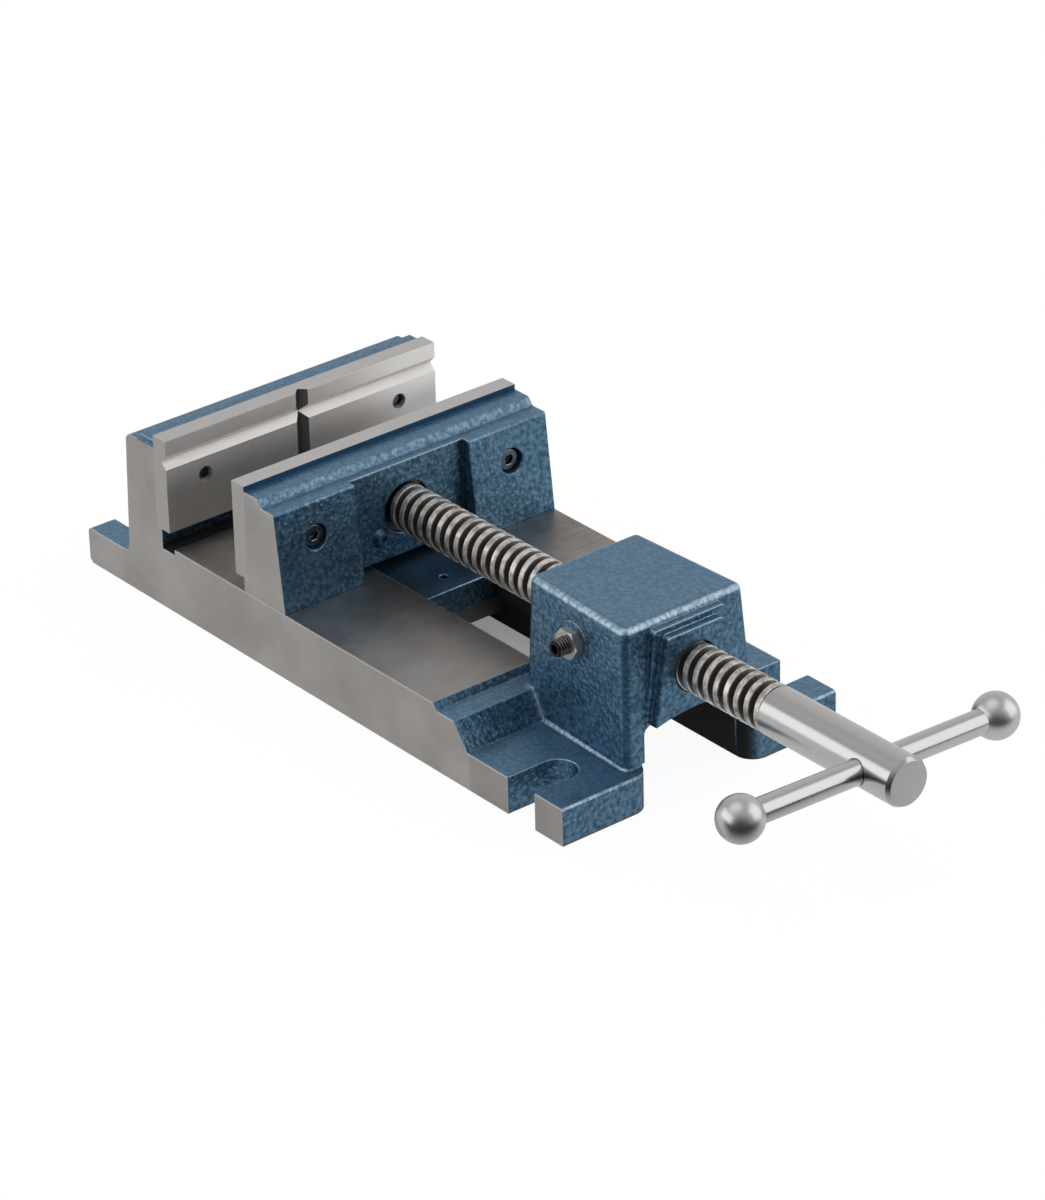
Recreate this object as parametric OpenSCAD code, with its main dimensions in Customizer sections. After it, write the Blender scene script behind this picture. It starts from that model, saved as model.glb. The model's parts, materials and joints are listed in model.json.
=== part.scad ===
// Drill press vise: a slotted cast base with a fixed jaw and a screw housing, and a moving jaw on a
// trapezoidal screw that a sliding cross handle turns. Millimetres, Z up, handle towards -Y.
// The origin is on the bench, straight below the middle of the fixed jaw's face.

/* [Jaws] */
// Width of the jaws and of the base
jaw_w = 152.4; // [145:0.1:180]
// Gap between the jaw plates as the vise stands
jaw_gap = 49.6; // [20:0.1:90]
// Gap between the jaw plates with the vise wide open
jaw_opening = 152.4; // [120:0.1:152.4]
// Height of a jaw plate
plate_h = 45.7; // [42:0.1:56]
// Thickness of a jaw plate
plate_t = 8.8; // [8:0.1:12]
// Height of the plates' lower edge over the ways
plate_lift = 7.2; // [6:0.1:9]
// Step that the castings keep under a plate
plate_ledge = 2.8; // [1.5:0.1:4]
// Depth of the V grooves across the fixed jaw's plate
vee_depth = 3.4; // [2:0.1:4.5]
// Height of the long V groove under that plate's top edge
vee_drop = 10.9; // [9:0.1:14]
// Thickness of a jaw casting behind its plate, at the top
jaw_t = 21.3; // [19.5:0.1:26]
// Drop from a plate's top to the casting's first ledge
ledge_drop = 2.5; // [1.5:0.1:5]
// Width of the first ledge
ledge_l = 9; // [6:0.1:10]
// Drop and width of the soft step between the two ledges
ledge_step = 3.6; // [2:0.1:6]
ledge_step_l = 4.1; // [3:0.1:4.5]
// Lean of the fixed jaw's back, from top to bottom
fixed_lean = 2.6; // [1:0.1:8]
// Lean of the moving jaw's back pads, from top to bottom
moving_lean = 5.3; // [3:0.1:6]
// Radius of the top back edge, on the fixed jaw and on the moving jaw
fixed_r = 4.2; // [1:0.1:5]
moving_r = 1.2; // [0.5:0.1:4]
// Width of the recess in the moving jaw's back
recess_w = 64; // [50:0.1:76]
// Depth of the recess below the pads' top edge
recess_d = 4.2; // [3:0.1:5]
// Space between the ways and the moving jaw inside the recess
recess_lift = 1.6; // [1:0.1:3]

/* [Base] */
// Length of the base
base_l = 338.3; // [330:0.1:360]
// Distance from the base's rear end to the fixed jaw's face
jaw_setback = 65; // [60:0.1:75]
// Height of the ways
way_h = 32.4; // [30:0.1:38]
// Length of the ways in front of the fixed jaw's face
way_l = 187.7; // [186:0.1:196]
// Width of the slot between the two rails
rail_slot_w = 40; // [32:0.1:44]
// Thickness of the rails' lips over the channel below
lip_t = 14; // [12:0.1:18]
// Width of the channel below the rails
channel_w = 54.6; // [48:0.1:60]
// Height of the arch under the screw housing, in the middle
arch_h = 37.6; // [36:0.1:38.5]
// Rise of the arch, from its shoulders to the middle
arch_rise = 2.6; // [1:0.1:4]
// Radius of the arch's shoulders
arch_r = 4.5; // [2:0.1:8]
// Lean of the arch's walls, from the bench to the shoulders
arch_lean = 1.6; // [0.5:0.1:3]
// Height of the feet
foot_h = 17.6; // [14:0.1:22]
// Width of the four mounting slots
mount_slot_w = 17.7; // [12:0.1:20]
// Length of the front slots, from the side of the base
side_slot_l = 28.7; // [24:0.1:34]
// Distance from the base's front end to the front slots' centre line
side_slot_y = 26.9; // [22:0.1:32]
// Length of the rear slots, from the rear end of the base
rear_slot_l = 22; // [16:0.1:26]
// Distance from the middle of the base to a rear slot's centre line
rear_slot_x = 53.6; // [40:0.1:58]
// Depth and length of the clearance groove where the ways meet the fixed jaw
relief_d = 2.6; // [1:0.1:4]
relief_l = 9.1; // [6:0.1:12]
// First drop in front of the ways, and its length
step_drop = 3; // [2:0.1:5]
step_run = 3; // [1:0.1:6]
// Length of the step's level part
step_l = 11.4; // [8:0.1:14]
// Length of the slope from the step down to the foot
slope_l = 8.7; // [6:0.1:12]
// Small radius on the castings' outer edges
edge_r = 2; // [1:0.1:3]
// Radius of the fillet behind the fixed jaw
back_fillet = 4; // [2:0.1:6]
// Radius on the feet's inner front corners
foot_r = 9; // [4:0.1:12]

/* [Screw housing] */
// Height of the housing's top
housing_h = 81.2; // [79:0.1:90]
// Distance from the base's front end to the housing's front, at its foot
housing_gap = 5.8; // [4:0.1:10]
// Lean of the housing's front, from top to foot
housing_lean = 4.6; // [2:0.1:6]
// Length of the housing's top
housing_l = 65.9; // [62:0.1:70]
// Width of the housing's top at the rear
housing_rear_w = 60.4; // [58:0.1:66]
// Width of the housing's top at the front
housing_front_w = 66; // [62:0.1:72]
// Spread of each side of the housing, from top to foot
housing_spread = 3.4; // [1:0.1:6]
// Radius of the housing's edges
housing_r = 3.6; // [2:0.1:6]
// Size of the blend at the housing's foot, at its rear end
blend = 1.8; // [1:0.1:6]
// Size of the same blend at the front end
blend_front = 0.8; // [0.4:0.1:3]
// Width of the outer boss on the housing's front, at its top
boss_w = 39; // [30:0.1:42]
// Spread of each side of the outer boss, from top to bottom
boss_spread = 5.4; // [3:0.1:7]
// Spread of each side of the inner boss, from top to bottom
boss_inner_spread = 8; // [5:0.1:9]
// Drop from the housing's top to the outer boss
boss_drop = 3.4; // [2:0.1:5]
// How much smaller the inner boss is at its top, on each side
boss_inset = 4.3; // [2:0.1:6]
// How much lower the inner boss's top is than the outer one's
boss_step = 3.1; // [2:0.1:5]
// Distance from the base's front end to the inner boss's face
boss_gap = 2.8; // [2:0.1:4]
// Height of the inner boss's face over the outer one's
boss_t = 4; // [2:0.1:5]

/* [Screw] */
// Height of the screw's axis
screw_z = 56.3; // [54:0.1:59]
// Diameter of the screw's shank
screw_d = 22.2; // [20:0.1:24]
// Pitch of the thread
pitch = 6.35; // [5:0.05:7]
// Depth of the thread
thread_depth = 2.85; // [2:0.05:3]
// Width of the thread's crest
crest_w = 2.3; // [2:0.05:2.6]
// Width of each flank, seen from the side
flank_w = 0.82; // [0.5:0.02:1]
// Length of the threaded part
thread_l = 247.6; // [240:0.1:256]
// Length of the plain part at the handle's end
shank_l = 79; // [60:0.1:100]
// Distance from the screw's end to the handle's hole
handle_back = 20.3; // [16:0.1:30]
// Length of the bevel on the screw's end
bevel_l = 2; // [1:0.1:3]
// Depth of the bevel on the screw's end
bevel_d = 1.05; // [0.5:0.05:2]
// Diameter of the neck that goes through the moving jaw
neck_d = 13; // [12:0.1:14]
// Diameter of the groove in the neck
groove_d = 9.6; // [8:0.1:10]
// Length of the neck past the groove
nose_l = 3; // [2:0.1:3.6]
// Diameter of the space for the thread's end in the moving jaw
screw_seat_d = 25; // [24:0.1:27]
// Depth of that space
screw_seat_l = 3.8; // [3:0.1:4.4]
// Diameter of the opening in the housing's front
screw_way_d = 23.2; // [22.8:0.1:25]

/* [Handle] */
// Diameter of the handle's bar
bar_d = 11.1; // [9:0.1:12]
// Distance between the centres of the two balls
ball_span = 139.6; // [120:0.1:170]
// How far the bar has slid from its middle, towards +X
bar_shift = -2.2; // [-20:0.1:20]
// Turn of the handle from level, lower at +X
handle_turn = 2.3; // [-30:0.1:30]
// Diameter of a ball
ball_d = 20.6; // [18:0.1:24]
// Distance from a ball's centre to its flat outer end
ball_out = 9; // [8:0.1:10]
// Diameter of the bar's ends inside the balls
spigot_d = 8; // [6:0.1:9]
// Length of the bar's ends inside the balls
spigot_l = 11; // [8:0.1:13]

/* [Screw retainer] */
// Thickness of the forked plate that holds the screw in the moving jaw
fork_t = 3.5; // [3:0.1:4]
// Width of the forked plate
fork_w = 40; // [38:0.1:42]
// Height of the forked plate
fork_h = 25; // [22:0.1:28]
// Depth of the pocket behind the moving jaw's plate
pocket_d = 8.6; // [8:0.1:9.2]
// Space round the forked plate in its pocket
pocket_gap = 1; // [0.5:0.1:2]
// Distance of the retainer's screws from the middle
fork_screw_x = 15.4; // [15:0.1:16]
// Distance of the retainer's screws below the screw's axis
fork_screw_drop = 10.4; // [9:0.1:11]
// Thickness of the thrust washer
washer_t = 1.5; // [1:0.1:2]
// Diameter of the thrust washer
washer_d = 24.4; // [22:0.1:24.6]

/* [Keeper] */
// Length of the tongue and of the keeper plate below the moving jaw
tongue_l = 56.4; // [50:0.1:60]
// Height of the tongue's top under the ways
tongue_drop = 1.4; // [1:0.1:2.5]
// Thickness of the keeper plate
keeper_t = 8; // [6:0.1:9]
// Distance from the tongue's ends to the keeper's screws
keeper_screw_end = 11.5; // [10:0.1:16]
// Diameter of the drill's mouth over a keeper screw
keeper_pilot_d = 4.2; // [2:0.1:5]

/* [Fasteners] */
// Diameter of the jaw plates' screws
plate_screw_d = 6; // [5:0.5:8]
// Distance of the jaw plates' screws from the middle
plate_screw_x = 54.8; // [50:0.1:60]
// Depth of the screw heads below the castings' backs
head_sink = 2; // [0.5:0.1:3]
// Gap between a jaw screw's head and the wall of its hole
head_gap = 1.1; // [0.3:0.1:1.5]
// Depth of the chamfer round each screw hole in a jaw plate's face
mouth_t = 1.1; // [0.4:0.1:1.5]
// Depth of a screw's tip below its plate's face
tip_sink = 2.4; // [1.5:0.1:4]
// Diameter of the keeper's screws
keeper_screw_d = 6; // [5:0.5:7]
// Diameter of the retainer's screws
fork_screw_d = 5; // [4:0.5:5]
// Diameter of the set screw in the housing's side
set_screw_d = 8; // [6:0.5:9]
// Height of the set screw's axis over the screw's axis
set_screw_rise = 7.1; // [3:0.1:8]
// Distance of the set screw from the housing's rear face
set_screw_back = 32.9; // [28:0.1:36]
// Length of the set screw outside the housing
set_screw_out = 10.1; // [8:0.1:14]
// Diameter of the flat seat round the set screw
spot_d = 19; // [17.5:0.1:22]
// Height of the flat seat over the housing's side
spot_t = 0.7; // [0.3:0.1:1.5]

/* [Screw nut] */
// Diameter of the threaded bush in the housing
bush_d = 30; // [29:0.1:31]
// Length of the threaded bush
bush_l = 44; // [40:0.1:50]
// Depth of the set screw's seat in the bush
bush_seat = 1.6; // [0.5:0.1:1.8]

/* [Hidden] */
// Gap of a sliding or turning fit, at each side
run_gap = 0.05;
// Gap between the handle's bar and its hole, at each side
bar_gap = 0.1;
// Gap between a screw and its threaded hole, at each side
tap_gap = 0.05;
// Gap between a screw and its clearance hole, at each side
hole_gap = 0.25;
// Gap at each side of the tongue and of the keeper
guide_gap = 0.5;
// Gap between the flanks of the screw's thread and of the bush's
flank_gap = 0.22;
// Gap between the two threads' crests and roots
crest_gap = 0.32;
// Overrun of every cut
over = 1;
// How far pieces of one casting reach into each other
merge = 3;
// How much thinner the thread is than the shank, so that the two meet cleanly
thread_drop = 0.08;
// Sides of one turn of thread
turn_sides = 24;
// Steps of a rounded corner, and of the arch
corner_steps = 6;
$fn = 64;

// Sizes of screws, nuts and washers as shares of the screw's diameter
head_d_share = 1.65;
socket_share = 0.75;
socket_depth_share = 0.5;
set_socket_share = 0.5;
button_d_share = 1.9;
button_top_share = 1.2;
button_h_share = 0.55;
button_socket_share = 0.6;
button_depth_share = 0.35;
thin_nut_share = 0.54;
nut_flats_share = 1.625;
nut_bevel_share = 0.1;
washer_d_share = 1.9;
washer_t_share = 0.2;
spring_d_share = 1.7;
spring_t_share = 0.26;
spring_slit_share = 0.16;
tap_drill_share = 0.85;
dog_share = 0.7;
ring_pitch_share = 0.17;
ring_depth_share = 0.09;
ring_tip_share = 0.82;
ring_crest_share = 0.5;
// How deep the keeper's screws and their threaded holes reach, as shares of the tongue's height
keeper_reach_share = 0.62;
keeper_hole_share = 0.72;

// Places behind a jaw's face, the same on both jaws
cast_face = plate_t - plate_ledge;
jaw_back = plate_t + jaw_t;
recess_face = jaw_back - recess_d;
pocket_floor = plate_t + pocket_d;
fork_back = pocket_floor - fork_t;
seat_floor = recess_face - screw_seat_l;
screw_start = seat_floor + washer_t + run_gap;

// Places along Y
face_y = 0;
rear_y = face_y + jaw_setback;
front_y = rear_y - base_l;
move_y = face_y - jaw_gap;
wall_y = move_y - recess_face;
way_front = face_y - way_l;
step_front = way_front - step_run - step_l;
slope_front = step_front - slope_l;
housing_front = front_y + housing_gap;
housing_top_front = housing_front + housing_lean;
housing_rear = housing_top_front + housing_l;
arch_rear = housing_rear - merge;
boss_face = front_y + boss_gap;
relief_front = face_y + cast_face - relief_l;
tongue_rear = move_y - cast_face;
tongue_front = tongue_rear - tongue_l;
neck_y = tongue_rear - (recess_face - cast_face) / 2;
keeper_screw_y = [tongue_rear - keeper_screw_end, tongue_front + keeper_screw_end];
screw_y = move_y - screw_start;
screw_end = thread_l + shank_l;
handle_y = screw_y - screw_end + handle_back;
set_screw_y = housing_rear - set_screw_back;

// Places along Z
seat_z = way_h + plate_lift;
plate_top = seat_z + plate_h;
plate_mid = seat_z + plate_h / 2;
ledge_z = plate_top - ledge_drop;
back_ledge_z = ledge_z - ledge_step;
vee_z = plate_top - vee_drop;
jaw_foot = way_h + run_gap;
lip_z = way_h - lip_t;
tongue_top = way_h - tongue_drop;
neck_top = way_h + recess_lift;
keeper_top = lip_z - run_gap;
keeper_foot = keeper_top - keeper_t;
keeper_spring_z = keeper_foot - keeper_screw_d * washer_t_share;
keeper_head_z = keeper_spring_z - keeper_screw_d * spring_t_share;
shoulder_z = arch_h - arch_rise;
set_screw_z = screw_z + set_screw_rise;
fork_screw_z = screw_z - fork_screw_drop;
fork_z = fork_screw_z - fork_screw_d;
fork_top = fork_z + fork_h;

// Places along X
tongue_w = rail_slot_w - 2 * guide_gap;
keeper_w = channel_w - 2 * guide_gap - 2 * arch_lean;
side_slot_x = jaw_w / 2 - side_slot_l + mount_slot_w / 2;
arch_x = channel_w / 2 - arch_lean - arch_r;

// The housing's corner rounds, at its top and at its foot
rear_x = housing_rear_w / 2 - housing_r;
front_x = housing_front_w / 2 - housing_r;
rear_foot_x = rear_x + housing_spread;
front_foot_x = front_x + housing_spread;

// The flat seat round the set screw stands on the housing's leaning side
spot_x = housing_rear_w / 2 + (housing_front_w - housing_rear_w) / 2 * set_screw_back / housing_l
    + housing_spread * (housing_h - set_screw_z) / (housing_h - foot_h) + spot_t;
// How far the set screw reaches in from that seat, into the bush
set_screw_in = spot_x - sqrt(bush_d * bush_d / 4 - set_screw_rise * set_screw_rise) + bush_seat;

// The screw's thread, and the one in the bush a whole number of turns further on
thread_r = screw_d / 2 - thread_drop;
root_r = thread_r - thread_depth;
bush_thread_y = screw_y - (floor((screw_y - housing_rear) / pitch) - 1) * pitch + flank_gap;
bush_turns = ceil(bush_l / pitch) + 2;

// Half of the handle's bar between the balls, and where a ball starts
ball_in = sqrt(ball_d * ball_d - bar_d * bar_d) / 2;
bar_half = ball_span / 2 - ball_in;

// A plate screw's head sits this far behind the jaw's face
function head_seat(lean, foot) =
    jaw_back + lean * (back_ledge_z - plate_mid) / (back_ledge_z - foot) - plate_screw_d - head_sink;
fixed_head_y = face_y + head_seat(fixed_lean, foot_h);
moving_head_y = move_y - head_seat(moving_lean, jaw_foot);

// Points of an arc round c, from angle a to angle b
function arc(c, r, a, b) =
    [for (i = [0 : corner_steps]) let (t = a + (b - a) * i / corner_steps) c + r * [cos(t), sin(t)]];

// Outline of a jaw casting: distance behind the jaw's face, and height. The step is half a wave.
function jaw_outline(lean, r, foot) = concat(
    [[jaw_back + lean, foot]],
    arc([jaw_back - r, back_ledge_z - r], r, 0, 90),
    [for (i = [0 : 2 * corner_steps]) let (t = i / (2 * corner_steps))
        [plate_t + ledge_l + ledge_step_l * (1 - t), ledge_z - ledge_step * (1 + cos(180 * t)) / 2]],
    [[plate_t, ledge_z], [plate_t, seat_z], [cast_face, seat_z], [cast_face, foot]]
);

// Outline of the base from the side: Y and Z
base_outline = concat(
    [[rear_y - edge_r, 0], [rear_y, edge_r]],
    arc([rear_y - edge_r, foot_h - edge_r], edge_r, 0, 90),
    arc([face_y + jaw_back + fixed_lean + back_fillet, foot_h + back_fillet], back_fillet, 270, 180),
    [
        [face_y + plate_t, way_h],
        [face_y + cast_face, way_h],
        [face_y + cast_face, way_h - relief_d],
        [relief_front, way_h - relief_d],
        [relief_front, way_h],
        [way_front, way_h],
        [way_front - step_run, way_h - step_drop],
        [step_front, way_h - step_drop],
        [slope_front, foot_h]
    ],
    arc([front_y + edge_r, foot_h - edge_r], edge_r, 90, 180),
    [[front_y, 0]]
);

// Outline of the arch under the housing: X and Z
arch_outline = concat(
    [[-channel_w / 2, -over], [channel_w / 2, -over], [channel_w / 2, 0]],
    arc([arch_x, shoulder_z - arch_r], arch_r, 0, 90),
    [for (i = [1 : 2 * corner_steps - 1]) let (t = 1 - i / corner_steps)
        [arch_x * t, arch_h - arch_rise * t * t]],
    arc([-arch_x, shoulder_z - arch_r], arch_r, 90, 180),
    [[-channel_w / 2, 0]]
);

// A flat shape in Y and Z, drawn out to w along X about the middle
module across(w) {
    rotate([90, 0, 90]) linear_extrude(height = w, center = true) children();
}

// A flat shape in X and Z, drawn out from y0 down to y1
module along(y0, y1) {
    translate([0, y0, 0]) rotate([90, 0, 0]) linear_extrude(height = y0 - y1) children();
}

// A round bar along Y, from y0 down to y1
module bar_y(d, y0, y1, x = 0, z = screw_z) {
    translate([x, y0, z]) rotate([90, 0, 0]) cylinder(d = d, h = y0 - y1);
}

// A box from its two corners
module box(a, b) {
    translate(a) cube(b - a);
}

module at_both_sides() {
    children();
    mirror([1, 0, 0]) children();
}

// A six-sided bar along Z, by its width across flats
module hexagon(flats, h) {
    cylinder(d = flats / cos(30), h = h, $fn = 6);
}

// A threaded rod along Z: a trapezoidal ridge on a core, right-handed, closed at both ends
module threaded_rod(turns, r_out, r_in, crest, flank) {
    n = turn_sides;
    steps = round(turns * n);
    ridge = [[r_in, 0], [r_out, flank], [r_out, flank + crest], [r_in, 2 * flank + crest]];
    function turned(r, i, z) = [r * cos(360 * i / n), r * sin(360 * i / n), pitch * i / n + z];
    points = concat(
        [for (i = [0 : steps], q = ridge) turned(q[0], i, q[1])],
        [[0, 0, 0], [0, 0, pitch * (steps / n + 1)]],
        [for (i = [steps - n + 1 : steps]) turned(r_in, i, pitch)]
    );
    // The middles of the two ends, and the ridge's foot, which goes on for one turn past the last step
    low = 4 * (steps + 1);
    high = low + 1;
    function foot(i) = i <= steps ? 4 * i : high + i - steps;
    ridges = [for (i = [0 : steps - 1], k = [0 : 2]) let (a = 4 * i + k) [a, a + 1, a + 4, a + 5]];
    roots = [for (i = [0 : steps - 1]) [4 * i + 3, foot(i + n), 4 * i + 7, foot(i + 1 + n)]];
    last = 4 * steps;
    faces = concat(
        [for (q = concat(ridges, roots), t = [[q[0], q[1], q[2]], [q[1], q[3], q[2]]]) t],
        [for (i = [0 : n - 1]) [low, foot(i), foot(i + 1)]],
        [[low, foot(n), 3, 2, 1, 0]],
        [for (i = [0 : n - 1]) [high, foot(steps + i + 1), foot(steps + i)]],
        [[high, last, last + 1, last + 2, last + 3, foot(steps + n)]]
    );
    polyhedron(points, faces, convexity = 20);
}

// A socket head cap screw along Z: its head lies below z = 0, its shank runs up to l
module cap_screw(d, l) {
    difference() {
        union() {
            translate([0, 0, -d]) cylinder(d = d * head_d_share, h = d);
            cylinder(d = d - 2 * tap_gap, h = l);
        }
        translate([0, 0, -d - over]) hexagon(d * socket_share, d * socket_depth_share + over);
    }
}

// One corner of the housing: a ball under its top, or a short post at its foot
module housing_ball(x, y) {
    translate([x, y, housing_h - housing_r]) sphere(r = housing_r, $fn = 32);
}

module housing_post(x, y, top) {
    translate([x, y, foot_h - merge]) cylinder(r = housing_r, h = top - foot_h + merge, $fn = 32);
}

module housing_body() {
    hull() at_both_sides() {
        housing_ball(rear_x, housing_rear - housing_r);
        housing_ball(front_x, housing_top_front + housing_r);
        housing_post(rear_foot_x, housing_rear - housing_r, foot_h);
        housing_post(front_foot_x, housing_front + housing_r, foot_h);
    }
}

// The blend where the housing's sides stand on the feet
module housing_blend() {
    hull() at_both_sides() {
        housing_post(rear_foot_x + blend, slope_front, foot_h);
        housing_post(rear_foot_x, slope_front, foot_h + blend);
        housing_post(front_foot_x + blend_front, housing_front + housing_r, foot_h);
        housing_post(front_foot_x, housing_front + housing_r, foot_h + blend_front);
    }
}

// One of the raised bosses on the housing's front
module boss(w, spread, top, face) {
    along(housing_top_front + merge, face) polygon(concat(
        [[-w / 2 - spread, shoulder_z - arch_r], [w / 2 + spread, shoulder_z - arch_r]],
        arc([w / 2 - edge_r, top - edge_r], edge_r, 0, 90),
        arc([-w / 2 + edge_r, top - edge_r], edge_r, 90, 180)
    ));
}

// Places a shape on the set screw's axis, with Z pointing into the housing
module at_set_screw() {
    translate([-spot_x, set_screw_y, set_screw_z]) rotate([0, 90, 0]) children();
}

// An open-ended mounting slot along X, its round end's middle at the origin
module mount_slot(l) {
    translate([0, 0, -over]) {
        cylinder(d = mount_slot_w, h = foot_h + 2 * over);
        translate([0, -mount_slot_w / 2, 0]) cube([l, mount_slot_w, foot_h + 2 * over]);
    }
}

// What is cut from a foot's inner front corner to round it
module foot_corner() {
    translate([channel_w / 2, front_y, -over]) linear_extrude(height = foot_h + 2 * over) difference() {
        translate([-over, -over]) square(foot_r + over);
        translate([foot_r, foot_r]) circle(r = foot_r);
    }
}

// The holes for one jaw's plate screws: clearance from the face to the head, room for the head behind it
module plate_screw_holes(face, head, back) {
    at_both_sides() translate([plate_screw_x, 0, plate_mid]) {
        bar_y(plate_screw_d + 2 * hole_gap, max(face, back), min(face, back), 0, 0);
        bar_y(plate_screw_d * head_d_share + 2 * head_gap, max(head, back), min(head, back), 0, 0);
    }
}

module base_casting() {
    color("steelblue") difference() {
        union() {
            across(jaw_w) polygon(base_outline);
            across(jaw_w) polygon([for (p = jaw_outline(fixed_lean, fixed_r, foot_h)) [face_y + p[0], p[1]]]);
            housing_body();
            housing_blend();
            boss(boss_w, boss_spread, housing_h - boss_drop, boss_face + boss_t);
            boss(boss_w - 2 * boss_inset, boss_inner_spread, housing_h - boss_drop - boss_step, boss_face);
            at_set_screw() cylinder(d = spot_d, h = merge + spot_t);
        }
        // Slot between the rails, the wider channel below it, and the arch under the housing
        box([-rail_slot_w / 2, arch_rear - over, -over], [rail_slot_w / 2, relief_front, way_h + over]);
        box([-channel_w / 2, arch_rear - over, -over], [channel_w / 2, relief_front, lip_z]);
        along(arch_rear, front_y - over) polygon(arch_outline);
        at_both_sides() {
            translate([side_slot_x, front_y + side_slot_y, 0]) mount_slot(side_slot_l);
            translate([rear_slot_x, rear_y - rear_slot_l + mount_slot_w / 2, 0]) rotate([0, 0, 90])
                mount_slot(rear_slot_l);
            foot_corner();
        }
        plate_screw_holes(face_y, fixed_head_y, rear_y);
        // Seat of the threaded bush, the screw's way out to the front, and the set screw's hole
        bar_y(bush_d, housing_rear + over, housing_rear - bush_l);
        bar_y(screw_way_d, housing_rear, front_y);
        at_set_screw() translate([0, 0, -over]) cylinder(d = set_screw_d, h = spot_x + over);
    }
}

// A plain jaw plate with its face at y = 0 and its back towards +Y
module jaw_plate() {
    color("lightgray") difference() {
        box([-jaw_w / 2, 0, seat_z], [jaw_w / 2, plate_t, plate_top]);
        at_both_sides() {
            bar_y(plate_screw_d, plate_t + over, tip_sink - run_gap, plate_screw_x, plate_mid);
            bar_y(plate_screw_d * tap_drill_share, plate_t, -over, plate_screw_x, plate_mid);
            translate([plate_screw_x, -over, plate_mid]) rotate([-90, 0, 0]) cylinder(
                d1 = plate_screw_d * tap_drill_share + 2 * (mouth_t + over),
                d2 = plate_screw_d * tap_drill_share,
                h = mouth_t + over
            );
        }
    }
}

// The fixed jaw's plate has a long and an upright V groove, which hold round bars
module fixed_jaw_plate() {
    color("lightgray") translate([0, face_y, 0]) difference() {
        jaw_plate();
        across(jaw_w + 2 * over) polygon([
            [-over, vee_z + vee_depth + over], [vee_depth, vee_z], [-over, vee_z - vee_depth - over]
        ]);
        translate([0, 0, seat_z - over]) linear_extrude(height = plate_h + 2 * over) polygon([
            [vee_depth + over, -over], [0, vee_depth], [-vee_depth - over, -over]
        ]);
    }
}

module moving_jaw_plate() {
    translate([0, move_y, 0]) mirror([0, 1, 0]) jaw_plate();
}

module fixed_plate_screws() {
    color("dimgray") at_both_sides() translate([plate_screw_x, fixed_head_y, plate_mid]) rotate([90, 0, 0])
        cap_screw(plate_screw_d, fixed_head_y - face_y - tip_sink);
}

module moving_plate_screws() {
    color("dimgray") at_both_sides() translate([plate_screw_x, moving_head_y, plate_mid]) rotate([-90, 0, 0])
        cap_screw(plate_screw_d, move_y - tip_sink - moving_head_y);
}

module moving_jaw() {
    color("steelblue") difference() {
        union() {
            difference() {
                across(jaw_w) polygon([for (p = jaw_outline(moving_lean, moving_r, jaw_foot)) [move_y - p[0], p[1]]]);
                // The recess in the back, and the low space between its wall and the ways
                box(
                    [-recess_w / 2, wall_y - moving_lean - recess_d - over, jaw_foot - over],
                    [recess_w / 2, wall_y, plate_top]
                );
                box(
                    [-recess_w / 2, wall_y - over, jaw_foot - over],
                    [recess_w / 2, neck_y, neck_top]
                );
            }
            // The tongue between the rails, and the neck that carries it
            box([-tongue_w / 2, tongue_front, keeper_top], [tongue_w / 2, tongue_rear, tongue_top]);
            box([-tongue_w / 2, neck_y, keeper_top], [tongue_w / 2, tongue_rear, neck_top + merge]);
        }
        // Pocket for the forked plate, behind the jaw plate
        box(
            [-fork_w / 2 - pocket_gap, move_y - pocket_floor, fork_z - pocket_gap],
            [fork_w / 2 + pocket_gap, move_y - plate_t + over, fork_top + pocket_gap]
        );
        // Seat of the screw's end, and the hole for its neck
        bar_y(screw_seat_d, move_y - seat_floor, wall_y - over);
        bar_y(neck_d + 2 * run_gap, move_y - pocket_floor + over, wall_y);
        plate_screw_holes(move_y, moving_head_y, move_y - jaw_back - moving_lean);
        at_both_sides()
            bar_y(fork_screw_d + 2 * hole_gap, move_y - plate_t, wall_y - over, fork_screw_x, fork_screw_z);
        // Threaded holes for the keeper's screws, with the drill's mouth on top
        for (y = keeper_screw_y) translate([0, y, keeper_top - over]) {
            cylinder(d = keeper_screw_d, h = (tongue_top - keeper_top) * keeper_hole_share + over);
            cylinder(d = keeper_pilot_d, h = tongue_top - keeper_top + 2 * over);
        }
    }
}

module keeper_plate() {
    color("gray") difference() {
        box([-keeper_w / 2, tongue_front, keeper_foot], [keeper_w / 2, tongue_rear, keeper_top]);
        for (y = keeper_screw_y) translate([0, y, keeper_foot - over])
            cylinder(d = keeper_screw_d + 2 * hole_gap, h = keeper_t + 2 * over);
    }
}

// A washer on each keeper screw, its top at height top
module washers(d, t, top) {
    for (y = keeper_screw_y) translate([0, y, top - t]) difference() {
        cylinder(d = d, h = t);
        translate([0, 0, -over]) cylinder(d = keeper_screw_d + 2 * hole_gap, h = t + 2 * over);
    }
}

module keeper_washers() {
    color("silver") washers(keeper_screw_d * washer_d_share, keeper_screw_d * washer_t_share, keeper_foot);
}

module keeper_spring_washers() {
    d = keeper_screw_d * spring_d_share;
    t = keeper_screw_d * spring_t_share;
    slit = keeper_screw_d * spring_slit_share;
    color("silver") difference() {
        washers(d, t, keeper_spring_z);
        for (y = keeper_screw_y)
            box([0, y - slit / 2, keeper_spring_z - t - over], [d, y + slit / 2, keeper_spring_z + over]);
    }
}

module keeper_screws() {
    l = keeper_top - keeper_head_z + (tongue_top - keeper_top) * keeper_reach_share;
    color("dimgray") for (y = keeper_screw_y) translate([0, y, keeper_head_z]) cap_screw(keeper_screw_d, l);
}

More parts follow.
